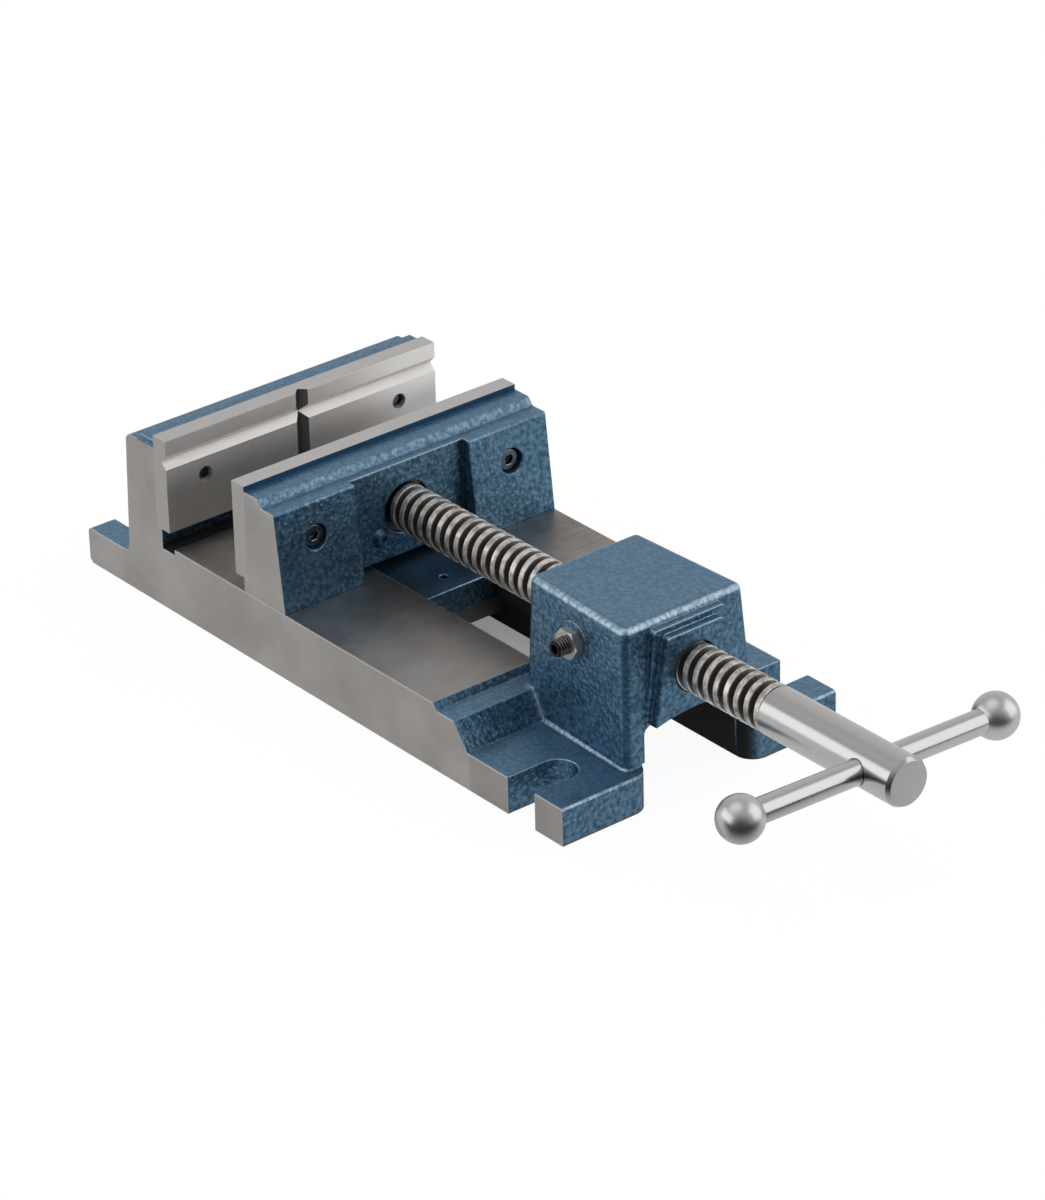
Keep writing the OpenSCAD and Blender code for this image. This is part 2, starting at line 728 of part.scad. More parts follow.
module spindle_fork() {
    slot = groove_d + 2 * run_gap;
    near_y = move_y - fork_back;
    far_y = move_y - pocket_floor;
    color("silver") difference() {
        box([-fork_w / 2, far_y, fork_z], [fork_w / 2, near_y, fork_top]);
        bar_y(slot, near_y + over, far_y - over);
        box([-slot / 2, far_y - over, screw_z], [slot / 2, near_y + over, fork_top + over]);
        at_both_sides() bar_y(fork_screw_d, near_y + over, far_y - over, fork_screw_x, fork_screw_z);
    }
}

module spindle_fork_screws() {
    d = fork_screw_d;
    head_h = d * button_h_share;
    color("dimgray") at_both_sides() translate([fork_screw_x, wall_y, fork_screw_z]) rotate([-90, 0, 0])
        difference() {
            union() {
                translate([0, 0, -head_h])
                    cylinder(d1 = d * button_top_share, d2 = d * button_d_share, h = head_h);
                cylinder(d = d - 2 * tap_gap, h = recess_face - fork_back);
            }
            translate([0, 0, -head_h - over]) hexagon(d * button_socket_share, d * button_depth_share + over);
        }
}

module thrust_washer() {
    floor_y = move_y - seat_floor;
    color("silver") difference() {
        bar_y(washer_d, floor_y, floor_y - washer_t);
        bar_y(neck_d + 2 * hole_gap, floor_y + over, floor_y - washer_t - over);
    }
}

// The screw along Z from the start of its thread: nose and groove below it, thread and shank above
module spindle() {
    neck_l = screw_start - pocket_floor - run_gap;
    nose_z = -neck_l - fork_t - 2 * run_gap - nose_l;
    core_r = root_r * cos(180 / turn_sides) - thread_drop;
    color("silver") translate([0, screw_y, screw_z]) rotate([90, 0, 0]) difference() {
        union() {
            translate([0, 0, nose_z]) cylinder(d = neck_d, h = nose_l);
            translate([0, 0, nose_z]) cylinder(d = groove_d, h = -nose_z);
            translate([0, 0, -neck_l]) cylinder(d = neck_d, h = neck_l + merge);
            cylinder(r = core_r, h = pitch + merge);
            threaded_rod((thread_l + thread_drop) / pitch, thread_r, root_r, crest_w, flank_w);
            translate([0, 0, thread_l]) cylinder(d = screw_d, h = shank_l - bevel_l);
            translate([0, 0, screw_end - bevel_l])
                cylinder(d1 = screw_d, d2 = screw_d - 2 * bevel_d, h = bevel_l);
        }
        translate([0, 0, screw_end - handle_back]) rotate([0, 0, -handle_turn]) rotate([0, 90, 0])
            cylinder(d = bar_d + 2 * bar_gap, h = 2 * screw_d, center = true);
    }
}

module spindle_bush() {
    color("darkgoldenrod") difference() {
        bar_y(bush_d - 2 * tap_gap, housing_rear, housing_rear - bush_l);
        translate([0, bush_thread_y, screw_z]) rotate([90, 0, 0]) threaded_rod(
            bush_turns, thread_r + crest_gap, root_r + crest_gap, crest_w + 2 * flank_gap, flank_w
        );
        at_set_screw() cylinder(d = set_screw_d * dog_share + 2 * tap_gap, h = set_screw_in);
    }
}

// The set screw: a thread outside, a plain shank in the housing and a dog point in the bush
module bush_set_screw() {
    r = set_screw_d / 2 - tap_gap;
    dog_d = set_screw_d * dog_share;
    ring = set_screw_d * ring_pitch_share;
    color("dimgray") at_set_screw() difference() {
        union() {
            cylinder(r = r, h = set_screw_in - bush_seat - dog_d / 2);
            cylinder(d = dog_d, h = set_screw_in - run_gap);
            rotate_extrude() polygon(concat(
                [[0, ring], [0, -set_screw_out], [r * ring_tip_share, -set_screw_out]],
                [for (i = [floor(set_screw_out / ring) - 1 : -1 : 0]) each [
                    [r - set_screw_d * ring_depth_share, -(i + 1) * ring],
                    [r, -(i + ring_crest_share) * ring]
                ]],
                [[r, ring]]
            ));
        }
        translate([0, 0, -set_screw_out - over])
            hexagon(set_screw_d * set_socket_share, set_screw_d * socket_depth_share + over);
    }
}

module set_screw_nut() {
    flats = set_screw_d * nut_flats_share;
    nut_h = set_screw_d * thin_nut_share;
    bevel = set_screw_d * nut_bevel_share;
    color("silver") at_set_screw() translate([0, 0, -nut_h]) difference() {
        intersection() {
            rotate([0, 0, 90]) hexagon(flats, nut_h);
            rotate_extrude() polygon([
                [0, 0], [flats / 2, 0], [flats / 2 + bevel, bevel / 2],
                [flats / 2 + bevel, nut_h - bevel / 2], [flats / 2, nut_h], [0, nut_h]
            ]);
        }
        translate([0, 0, -over]) cylinder(d = set_screw_d, h = nut_h + 2 * over);
    }
}

// The handle's own frame: the bar lies along X, through the screw
module in_handle() {
    translate([0, handle_y, screw_z]) rotate([0, handle_turn, 0]) translate([bar_shift, 0, 0]) children();
}

module handle_bar() {
    color("silver") in_handle() rotate([0, 90, 0]) {
        cylinder(d = bar_d, h = 2 * bar_half, center = true);
        cylinder(d = spigot_d - 2 * tap_gap, h = 2 * (bar_half + spigot_l), center = true);
    }
}

// A ball that starts at z = 0, where it meets the bar, and has a flat outer end
module handle_ball() {
    difference() {
        translate([0, 0, ball_in]) rotate_extrude() intersection() {
            circle(d = ball_d);
            translate([0, -ball_in]) square([ball_d, ball_in + ball_out]);
        }
        translate([0, 0, -over]) cylinder(d = spigot_d, h = spigot_l + tap_gap + over);
    }
}

module handle_ball_left() {
    color("silver") in_handle() rotate([0, -90, 0]) translate([0, 0, bar_half]) handle_ball();
}

module handle_ball_right() {
    color("silver") in_handle() rotate([0, 90, 0]) translate([0, 0, bar_half]) handle_ball();
}

base_casting();
fixed_jaw_plate();
fixed_plate_screws();
moving_jaw();
moving_jaw_plate();
moving_plate_screws();
keeper_plate();
keeper_washers();
keeper_spring_washers();
keeper_screws();
spindle();
thrust_washer();
spindle_fork();
spindle_fork_screws();
spindle_bush();
bush_set_screw();
set_screw_nut();
handle_bar();
handle_ball_left();
handle_ball_right();
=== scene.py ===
# %% [markdown]
# # A drill press vise in blue hammered enamel
# The vise stands on its base. The screw made here rides on its own body. Lengths are in metres, +Y runs
# along the screw from the handle to the fixed jaw, and the origin is on the bench below that jaw's face.

import json
import math
from types import SimpleNamespace

import bmesh
import bpy
from mathutils import Matrix, Vector


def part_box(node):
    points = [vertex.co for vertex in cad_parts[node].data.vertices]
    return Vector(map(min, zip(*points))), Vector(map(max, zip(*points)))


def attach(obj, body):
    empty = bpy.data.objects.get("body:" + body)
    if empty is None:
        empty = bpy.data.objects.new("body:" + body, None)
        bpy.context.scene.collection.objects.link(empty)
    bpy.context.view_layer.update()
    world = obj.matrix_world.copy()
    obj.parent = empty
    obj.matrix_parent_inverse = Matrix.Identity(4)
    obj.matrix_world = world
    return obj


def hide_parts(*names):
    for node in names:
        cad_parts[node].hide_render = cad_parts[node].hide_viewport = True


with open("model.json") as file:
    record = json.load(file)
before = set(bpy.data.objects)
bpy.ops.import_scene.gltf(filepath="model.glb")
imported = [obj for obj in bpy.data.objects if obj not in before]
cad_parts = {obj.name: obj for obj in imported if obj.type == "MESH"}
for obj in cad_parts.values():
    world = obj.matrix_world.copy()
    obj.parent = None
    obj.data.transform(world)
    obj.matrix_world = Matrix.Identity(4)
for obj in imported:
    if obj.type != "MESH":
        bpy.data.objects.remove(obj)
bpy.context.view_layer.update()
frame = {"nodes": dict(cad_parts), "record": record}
nodes = frame["nodes"]
mm = 0.001

# %% [markdown]
# ## The camera
# The photograph was taken from in front of the handle, to the left and above. Its camera was found by
# fitting the straight edges of the base, so its place, its target and its focal length are written here
# in the model's own frame. Turning a camera by hand until the picture fits is possible too, but a fit to
# many edges is surer. The small roll is the photographer's hand. Blender counts the focal length and the
# film's width in millimetres, whatever the scene's own units are.

# %% The camera
eye = Vector((-1262.39, -1732.39, 1129.59)) * mm
target = Vector((110.94, -16.73, -54.35)) * mm
roll = -0.0246
focal_length = 158.81
film_width = 36.0
sight = 50.0
forward = (target - eye).normalized()
level = forward.cross(Vector((0, 0, 1))).normalized()
upright = level.cross(forward)
right = math.cos(roll) * level + math.sin(roll) * upright
up = math.cos(roll) * upright - math.sin(roll) * level

camera_data = bpy.data.cameras.new("camera")
camera_data.lens = focal_length
camera_data.sensor_width = film_width
camera_data.clip_end = sight
camera = bpy.data.objects.new("camera", camera_data)
bpy.context.collection.objects.link(camera)
turn = Matrix((right, up, -forward)).transposed().to_4x4()
camera.matrix_world = Matrix.Translation(eye) @ turn
bpy.context.scene.camera = camera
bpy.context.scene.view_settings.view_transform = "Standard"
print("camera", tuple(round(v, 3) for v in eye), "lens", camera_data.lens)

# %% [markdown]
# ## Small helpers for shader nodes
# A material is a small program of nodes. The first helpers put a value or a link into a socket and make
# the arithmetic nodes, so that each finish below reads as a few lines of sums.

# %% Helpers for sums
def put(tree, socket, value):
    if isinstance(value, bpy.types.NodeSocket):
        tree.links.new(value, socket)
    else:
        socket.default_value = value


def node(tree, kind, **settings):
    made = tree.nodes.new(kind)
    for name, value in settings.items():
        setattr(made, name, value)
    return made


def calc(tree, operation, *values, clamp=False):
    made = node(tree, "ShaderNodeMath", operation=operation, use_clamp=clamp)
    for socket, value in zip(made.inputs, values):
        put(tree, socket, value)
    return made.outputs[0]


def product(tree, *values):
    result = values[0]
    for value in values[1:]:
        result = calc(tree, "MULTIPLY", result, value)
    return result


def most(tree, *values):
    result = values[0]
    for value in values[1:]:
        result = calc(tree, "MAXIMUM", result, value)
    return result


def left_over(tree, value, whole=1.0):
    return calc(tree, "SUBTRACT", whole, value, clamp=True)


def within(tree, value, low, high):
    return product(tree, calc(tree, "GREATER_THAN", value, low), calc(tree, "LESS_THAN", value, high))


def vector(tree, operation, *values):
    made = node(tree, "ShaderNodeVectorMath", operation=operation)
    for socket, value in zip(made.inputs, values):
        put(tree, socket, value)
    return made.outputs["Value" if operation in ("DOT_PRODUCT", "LENGTH") else "Vector"]


def scaled(tree, direction, amount):
    made = node(tree, "ShaderNodeVectorMath", operation="SCALE")
    put(tree, made.inputs[0], direction)
    put(tree, made.inputs["Scale"], amount)
    return made.outputs["Vector"]


def parts(tree, value):
    made = node(tree, "ShaderNodeSeparateXYZ")
    put(tree, made.inputs[0], value)
    return made.outputs


print("helpers for sums ready")

# %% [markdown]
# The next helpers change a value softly from one amount to another, mix two values and draw noise. Others
# read the place and the normal of a point in the piece's own space, where a pattern stays on its piece
# at every pose. A node group is a sum with a name, and the last two make a group and use it.

# %% Helpers for patterns and groups
def spread(tree, value, low, high, to_low=0.0, to_high=1.0):
    made = node(tree, "ShaderNodeMapRange", interpolation_type="SMOOTHSTEP")
    for socket, entry in zip(made.inputs, (value, low, high, to_low, to_high)):
        put(tree, socket, entry)
    return made.outputs[0]


def blend(tree, kind, share, first, second):
    """Mixes two values. Each kind of value has its own three sockets on the node."""
    made = node(tree, "ShaderNodeMix", data_type=kind)
    first_socket, second_socket, result = {"FLOAT": (2, 3, 0), "VECTOR": (4, 5, 1), "RGBA": (6, 7, 2)}[kind]
    put(tree, made.inputs[0], share)
    put(tree, made.inputs[first_socket], first)
    put(tree, made.inputs[second_socket], second)
    return made.outputs[result]


noise_middle = 0.5


def noise(tree, place, scale, detail=2.0, roughness=0.5, output="Fac"):
    made = node(tree, "ShaderNodeTexNoise")
    put(tree, made.inputs["Vector"], place)
    put(tree, made.inputs["Scale"], scale)
    made.inputs["Detail"].default_value = detail
    made.inputs["Roughness"].default_value = roughness
    return made.outputs[output]


def own_place(tree):
    return node(tree, "ShaderNodeTexCoord").outputs["Object"]


def own_normal(tree, which="Normal"):
    to_own = node(tree, "ShaderNodeVectorTransform", vector_type="NORMAL", convert_from="WORLD",
                  convert_to="OBJECT")
    put(tree, to_own.inputs[0], node(tree, "ShaderNodeNewGeometry").outputs[which])
    return vector(tree, "NORMALIZE", to_own.outputs[0])


def to_world(tree, normal):
    to_out = node(tree, "ShaderNodeVectorTransform", vector_type="NORMAL", convert_from="OBJECT",
                  convert_to="WORLD")
    put(tree, to_out.inputs[0], normal)
    return vector(tree, "NORMALIZE", to_out.outputs[0])


def new_group(name, takes, gives):
    group = bpy.data.node_groups.new(name, "ShaderNodeTree")
    for label, kind in takes:
        group.interface.new_socket(name=label, in_out="INPUT", socket_type="NodeSocket" + kind)
    for label, kind in gives:
        group.interface.new_socket(name=label, in_out="OUTPUT", socket_type="NodeSocket" + kind)
    return group, group.nodes.new("NodeGroupInput").outputs, group.nodes.new("NodeGroupOutput").inputs


def use(tree, group, **values):
    made = tree.nodes.new("ShaderNodeGroup")
    made.node_tree = group
    for name, value in values.items():
        put(tree, made.inputs[name], value)
    return made.outputs


print("helpers for patterns and groups ready")

# %% [markdown]
# ## A face in a box
# A foundry casting is painted all over and then machined where it slides, stands or carries a plate, so
# the bare faces are flat and lie in known boxes. This group answers 1 on a face that lies in a box and
# looks along a given axis. The faces could be picked one by one instead, but a box survives a new mesh.

# %% A face in a box
facing_limit = 0.9
face_in_box, takes, gives = new_group(
    "Face in a box", [("Low", "Vector"), ("High", "Vector"), ("Facing", "Vector")], [("Mask", "Float")])
place = own_place(face_in_box)
inside = parts(face_in_box, vector(face_in_box, "MINIMUM",
                                   vector(face_in_box, "SUBTRACT", place, takes["Low"]),
                                   vector(face_in_box, "SUBTRACT", takes["High"], place)))
least = calc(face_in_box, "MINIMUM", calc(face_in_box, "MINIMUM", inside["X"], inside["Y"]), inside["Z"])
facing = vector(face_in_box, "DOT_PRODUCT",
                vector(face_in_box, "ABSOLUTE", own_normal(face_in_box, "True Normal")), takes["Facing"])
put(face_in_box, gives["Mask"], product(face_in_box, calc(face_in_box, "GREATER_THAN", least, 0.0),
                                        calc(face_in_box, "GREATER_THAN", facing, facing_limit)))
print("group", face_in_box.name)

# %% [markdown]
# ## Rounded edges
# No real edge is a knife edge. A Bevel node bends the normals near an edge as a small radius would, which
# catches the light along it, and the bend itself tells a finish where the edge is, for a painted highlight. A
# real bevel on these cast meshes would need clean topology at every junction, and this costs no faces.

# %% Rounded edges
rounded_edges, takes, gives = new_group("Rounded edges", [("Radius", "Float")],
                                        [("Normal", "Vector"), ("Edge", "Float")])
soft = node(rounded_edges, "ShaderNodeBevel", samples=6)
put(rounded_edges, soft.inputs["Radius"], takes["Radius"])
straight = node(rounded_edges, "ShaderNodeNewGeometry").outputs["Normal"]
bend = left_over(rounded_edges, vector(rounded_edges, "DOT_PRODUCT", soft.outputs[0], straight))
put(rounded_edges, gives["Normal"], soft.outputs[0])
put(rounded_edges, gives["Edge"], spread(rounded_edges, bend, low=0.005, high=0.14))
print("group", rounded_edges.name)

# %% [markdown]
# ## Corner shade
# Shade falls in an inner corner and under a cast ledge, and there the casting gets a painted shade. Ambient
# occlusion measured over a few millimetres, on the piece's own mesh only, finds those places at every pose.

# %% Corners
corner_shade, takes, gives = new_group("Corner shade", [("Reach", "Float")], [("Depth", "Float")])
shade = node(corner_shade, "ShaderNodeAmbientOcclusion", samples=4, only_local=True)
put(corner_shade, shade.inputs["Distance"], takes["Reach"])
put(corner_shade, gives["Depth"], spread(corner_shade, shade.outputs["AO"], low=0.45, high=0.97,
                                    to_low=1.0, to_high=0.0))
print("group", corner_shade.name)

# %% [markdown]
# ## Hammered enamel
# Hammer finish is a paint with metal flake that draws itself into small cells as it dries: each cell is a
# shallow dimple with a lighter middle and a dark border, about 2 mm across. Smooth Voronoi cells, bent a
# little by noise, give both the colour and the height, so the dimples and their borders agree. The paint
# flows level on the faces that lay upward to dry, so there the dimples are faint and the flake lies lighter.

# %% The enamel's cells
hammered, takes, gives = new_group(
    "Hammered enamel", [("Cells per metre", "Float"), ("Deep", "Color"), ("Bright", "Color"),
                        ("Level deep", "Color"), ("Level bright", "Color")],
    [("Color", "Color"), ("Height", "Float"), ("Roughness", "Float"), ("Cell", "Float")])
sway = 1.2 * mm
cell_blur = 0.35
place = own_place(hammered)
facing_up = spread(hammered, parts(hammered, own_normal(hammered))["Z"], low=0.7, high=0.97)
wander = vector(hammered, "SUBTRACT", noise(hammered, place, scale=900.0, output="Color"),
                (noise_middle, noise_middle, noise_middle))
cells = node(hammered, "ShaderNodeTexVoronoi", feature="SMOOTH_F1")
put(hammered, cells.inputs["Vector"], vector(hammered, "ADD", place, scaled(hammered, wander, sway)))
put(hammered, cells.inputs["Scale"], takes["Cells per metre"])
put(hammered, cells.inputs["Smoothness"], cell_blur)
dome = spread(hammered, cells.outputs["Distance"], low=0.15, high=0.75)
drift = noise(hammered, place, scale=60.0, detail=3.0)
blotch = spread(hammered, noise(hammered, place, scale=420.0, detail=3.0, roughness=0.6), low=0.36, high=0.66)
print("cells bent by up to", sway / 2, "m")

# %% The enamel's colour, height and roughness
blotch_share = 0.55
drift_share = 0.5
blotch_depth = 0.5
level_height = 0.3
middle_of_cell = left_over(hammered, dome)
steep_tone = blend(hammered, "FLOAT", blotch_share, middle_of_cell, blotch)
level_tone = blend(hammered, "FLOAT", drift_share, middle_of_cell, drift)
put(hammered, gives["Color"], blend(
    hammered, "RGBA", facing_up, blend(hammered, "RGBA", steep_tone, takes["Deep"], takes["Bright"]),
    blend(hammered, "RGBA", level_tone, takes["Level deep"], takes["Level bright"])))
height = calc(hammered, "SUBTRACT", dome, product(hammered, blotch, blotch_depth))
put(hammered, gives["Height"], product(
    hammered, height, spread(hammered, facing_up, low=0.0, high=1.0, to_low=1.0, to_high=level_height)))
put(hammered, gives["Cell"], steep_tone)
put(hammered, gives["Roughness"], spread(hammered, drift, low=0.3, high=0.7, to_low=0.3, to_high=0.42))
print("group", hammered.name)

# %% [markdown]
# ## Ground marks and turned marks
# A grinding wheel leaves fine straight lines, and a lathe leaves fine rings. Both stretch a reflection
# across the lines. The lines are far finer than a pixel, so the group doesn't draw them: it tips each
# point's normal across the line by a little noise, which stretches the reflection the same way.

# %% Tipping a normal
def tipped(tree, normal, line, marks, amount):
    """Tips a normal across a line's direction, by as much as the marks differ from their middle."""
    across = vector(tree, "NORMALIZE", vector(tree, "CROSS_PRODUCT", normal, to_world(tree, line)))
    tip = product(tree, calc(tree, "SUBTRACT", marks, noise_middle), amount)
    return vector(tree, "NORMALIZE", vector(tree, "ADD", normal, scaled(tree, across, tip)))


print("tipping ready")

# %% Ground marks
ground_marks, takes, gives = new_group(
    "Ground marks", [("Normal", "Vector"), ("Along", "Vector"), ("Amount", "Float"), ("Fineness", "Float")],
    [("Normal", "Vector"), ("Tone", "Float")])
stretch = 0.985
patch_share = 0.4
place = own_place(ground_marks)
along = takes["Along"]
run = vector(ground_marks, "DOT_PRODUCT", place, along)
pressed = vector(ground_marks, "SUBTRACT", place,
                 scaled(ground_marks, along, product(ground_marks, run, stretch)))
lines = noise(ground_marks, pressed, takes["Fineness"], detail=3.0, roughness=0.6)
patches = noise(ground_marks, place, scale=35.0, detail=3.0)
put(ground_marks, gives["Normal"], tipped(ground_marks, takes["Normal"], along, lines, takes["Amount"]))
put(ground_marks, gives["Tone"], blend(ground_marks, "FLOAT", patch_share, lines, patches))
print("group", ground_marks.name)

# %% Turned marks
turned_marks, takes, gives = new_group(
    "Turned marks", [("Normal", "Vector"), ("Centre", "Vector"), ("Axis", "Vector"), ("Amount", "Float"),
                     ("Fineness", "Float")],
    [("Normal", "Vector"), ("Tone", "Float"), ("Radius", "Float"), ("Along", "Float")])
arm = vector(turned_marks, "SUBTRACT", own_place(turned_marks), takes["Centre"])
run = vector(turned_marks, "DOT_PRODUCT", arm, takes["Axis"])
outward = vector(turned_marks, "SUBTRACT", arm, scaled(turned_marks, takes["Axis"], run))
radius = vector(turned_marks, "LENGTH", outward)
unrolled = node(turned_marks, "ShaderNodeCombineXYZ")
put(turned_marks, unrolled.inputs["X"], radius)
put(turned_marks, unrolled.inputs["Y"], run)
rings = noise(turned_marks, unrolled.outputs[0], takes["Fineness"], detail=3.0, roughness=0.6)
around = vector(turned_marks, "NORMALIZE", vector(turned_marks, "CROSS_PRODUCT", takes["Axis"], outward))
put(turned_marks, gives["Normal"], tipped(turned_marks, takes["Normal"], around, rings, takes["Amount"]))
put(turned_marks, gives["Tone"], rings)
put(turned_marks, gives["Radius"], radius)
put(turned_marks, gives["Along"], run)
print("group", turned_marks.name)

# %% [markdown]
# ## The castings' colours and places
# The castings carry three finishes: blue enamel, bare machined iron on the outer sides, the ways and the
# soles, and a near-black, rough painted shade in the relief, in the slot between the rails and under the arch.
# Their borders could be painted by hand on a texture, but here they follow the model's own heights and
# widths, which keeps them sharp from close by, so each one is named here once.

# %% Colours of the castings
def colour(red, green, blue):
    return red, green, blue, 1.0


deep_blue = colour(0.035, 0.11, 0.19)
bright_blue = colour(0.18, 0.32, 0.46)
level_deep_blue = colour(0.08, 0.18, 0.285)
level_bright_blue = colour(0.185, 0.315, 0.45)
# A painted highlight: the pale blue of the enamel's top edges, where they catch the light.
highlight_blue = colour(0.48, 0.62, 0.74)
# Painted shade for inner corners and under ledges.
corner_shade_blue = colour(0.015, 0.035, 0.055)
# Painted shade on the tongue and the faces under the moving jaw.
tongue_shade_blue = colour(0.03, 0.058, 0.08)
bare_iron = colour(0.49, 0.47, 0.455)
dark_iron = colour(0.32, 0.305, 0.29)
# A painted highlight along the bare iron's edges.
iron_highlight = colour(0.70, 0.68, 0.66)
iron_foot = colour(0.16, 0.13, 0.11)
# Near-black painted shade for the relief, the slot and the walls under the arch.
shade_black = colour(0.008, 0.008, 0.008)
cells_per_metre = 480.0
enamel_values = {"Cells per metre": cells_per_metre, "Deep": deep_blue, "Bright": bright_blue,
                 "Level deep": level_deep_blue, "Level bright": level_bright_blue}
print("enamel from", deep_blue[:3], "to", bright_blue[:3])

# %% Directions and slack
far = 1.0
low_end = (-far, -far, -far)
high_end = (far, far, far)
side = (1.0, 0.0, 0.0)
lengthwise = (0.0, 1.0, 0.0)
upward = (0.0, 0.0, 1.0)
any_way = (1.0, 1.0, 1.0)
sides_and_tops = (1.0, 0.0, 1.0)
nearly_lengthwise = (0.0, 3.0, 0.0)
slack = 0.3 * mm
thin_slack = 0.2 * mm
print("a box may be", slack, "m wider than its face")

# %% Places on the base
way_z = 32.4 * mm
way_front = -187.7 * mm
way_back = -3.0 * mm
side_x = 75.9 * mm
flat_z = 79.0 * mm
slot_x = 20.3 * mm
relief_front = -3.4 * mm
relief_back = 6.3 * mm
relief_d = 3.0 * mm
arch_x = 27.6 * mm
arch_z = 38.0 * mm
lower_arch_z = 32.9 * mm
arch_front = -266.0 * mm
channel_front = -201.0 * mm
channel_back = -2.8 * mm
channel_z = 18.7 * mm
print("ways at", way_z, "m, arch up to", arch_z, "m")

# %% Places on the housing and the jaws
housing_back = -196.0 * mm
housing_top = 76.5 * mm
housing_sides = (29.0 * mm, 46.0 * mm)
boss_y = -264.0 * mm
boss_z = 62.0 * mm
nose_y = -272.0 * mm
nose_edge = 1.2 * mm
foot_z = 17.7 * mm
foot_edge = 3.0 * mm
slope_y = -210.8 * mm
arch_wall_x = 35.0 * mm
ledge_z = 74.0 * mm
jaw_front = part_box("moving_jaw")[0].y
tongue_top = 8.0 * mm
tongue_sole_z = 18.6 * mm
recess_x = 31.9 * mm
recess_low = 32.4 * mm
recess_high = 33.7 * mm
print("moving jaw's front at", jaw_front, "m")

# %% [markdown]
# ## Painted highlights along the edges
# The top edges of the housing, its bosses, the feet and the jaws' ledges carry a painted highlight, a paler,
# broken line. Bending normals alone would light those lines only from one side, so the line is a mask: a
# strip of tilted normal in a region of the casting. The housing's upright corners get a painted shade
# instead, and the walls under the arch are painted near-black as shade.

# %% Regions of a casting
def principled(name):
    material = bpy.data.materials.new(name)
    material.use_nodes = True
    return material, material.node_tree, material.node_tree.nodes["Principled BSDF"].inputs


def any_box(tree, boxes):
    masks = [use(tree, face_in_box, Low=low, High=high, Facing=facing)["Mask"] for low, high, facing in boxes]
    return most(tree, 0.0, *masks)


def region(tree, place, **spans):
    """Answers 1 between a low and a high along x, y or z, with x counted from the middle plane."""
    inside = 1.0
    for axis, (low, high) in spans.items():
        value = place[axis.upper()]
        if axis == "x":
            value = calc(tree, "ABSOLUTE", value)
        inside = product(tree, inside, within(tree, value, low, high))
    return inside


print("regions ready")

# %% Painted highlights along the edges
ledge_share = 0.2


def edge_highlights(tree, place, tilt):
    """A mask of the strips along the outer edges that look halfway up, where a highlight is painted."""
    tilted = product(tree, spread(tree, tilt, low=0.18, high=0.45),
                     spread(tree, tilt, low=0.86, high=0.975, to_low=1.0, to_high=0.0))
    housing = region(tree, place, y=(-far, housing_back), z=(housing_top, far))
    boss = region(tree, place, y=(-far, boss_y), z=(boss_z, far))
    foot = region(tree, place, x=housing_sides, y=(-far, slope_y), z=(foot_z, foot_z + foot_edge))
    nose = region(tree, place, y=(-far, nose_y), z=(foot_z - nose_edge, foot_z))
    ledge = product(tree, region(tree, place, y=(way_front, far), z=(ledge_z, far)), ledge_share)
    return product(tree, tilted, most(tree, housing, boss, foot, nose, ledge))


def upright_corners(tree, place, flat):
    """A mask of the housing's upright outer corners, whose normal looks sideways and forward, for a painted
    shade.
    """
    turned = calc(tree, "ABSOLUTE", product(tree, flat["X"], flat["Y"]))
    return product(tree, spread(tree, turned, low=0.15, high=0.4), region(
        tree, place, x=housing_sides, y=(-far, housing_back), z=(foot_z + foot_edge, housing_top)))


def arch_walls(tree, place, flat):
    """A mask of the walls under the arch, painted near-black as shade, which fades where they turn round to
    the front.
    """
    sideways = spread(tree, calc(tree, "ABSOLUTE", flat["X"]), low=0.25, high=0.95)
    return product(tree, sideways, region(
        tree, place, x=(-far, arch_wall_x), y=(-far, housing_back), z=(-far, foot_z)))


print("masks of thin paint ready")

# %% [markdown]
# ## The castings' finish
# One material carries the enamel, the bare iron and the near-black painted shade, because on the real casting
# one surface goes straight into the other. Three materials on three sets of faces would be simpler, but they
# couldn't fade into one another within a face. The paint is laid on in layers: the enamel, painted shade on
# the housing's upright corners, painted highlights along the edges, painted shade on the tongue under the
# jaw, painted shade in the inner corners, and the soiled foot.

# %% The paint's layers
upright_shade_share = 0.85
tongue_shade_share = 0.85
corner_shade_share = 0.8
shade_reach = 3.5 * mm
tongue_shade_l = 14.0 * mm
boss_shade_l = 2.0 * mm
sole_z = 0.5 * mm
clean_z = 1.2 * mm


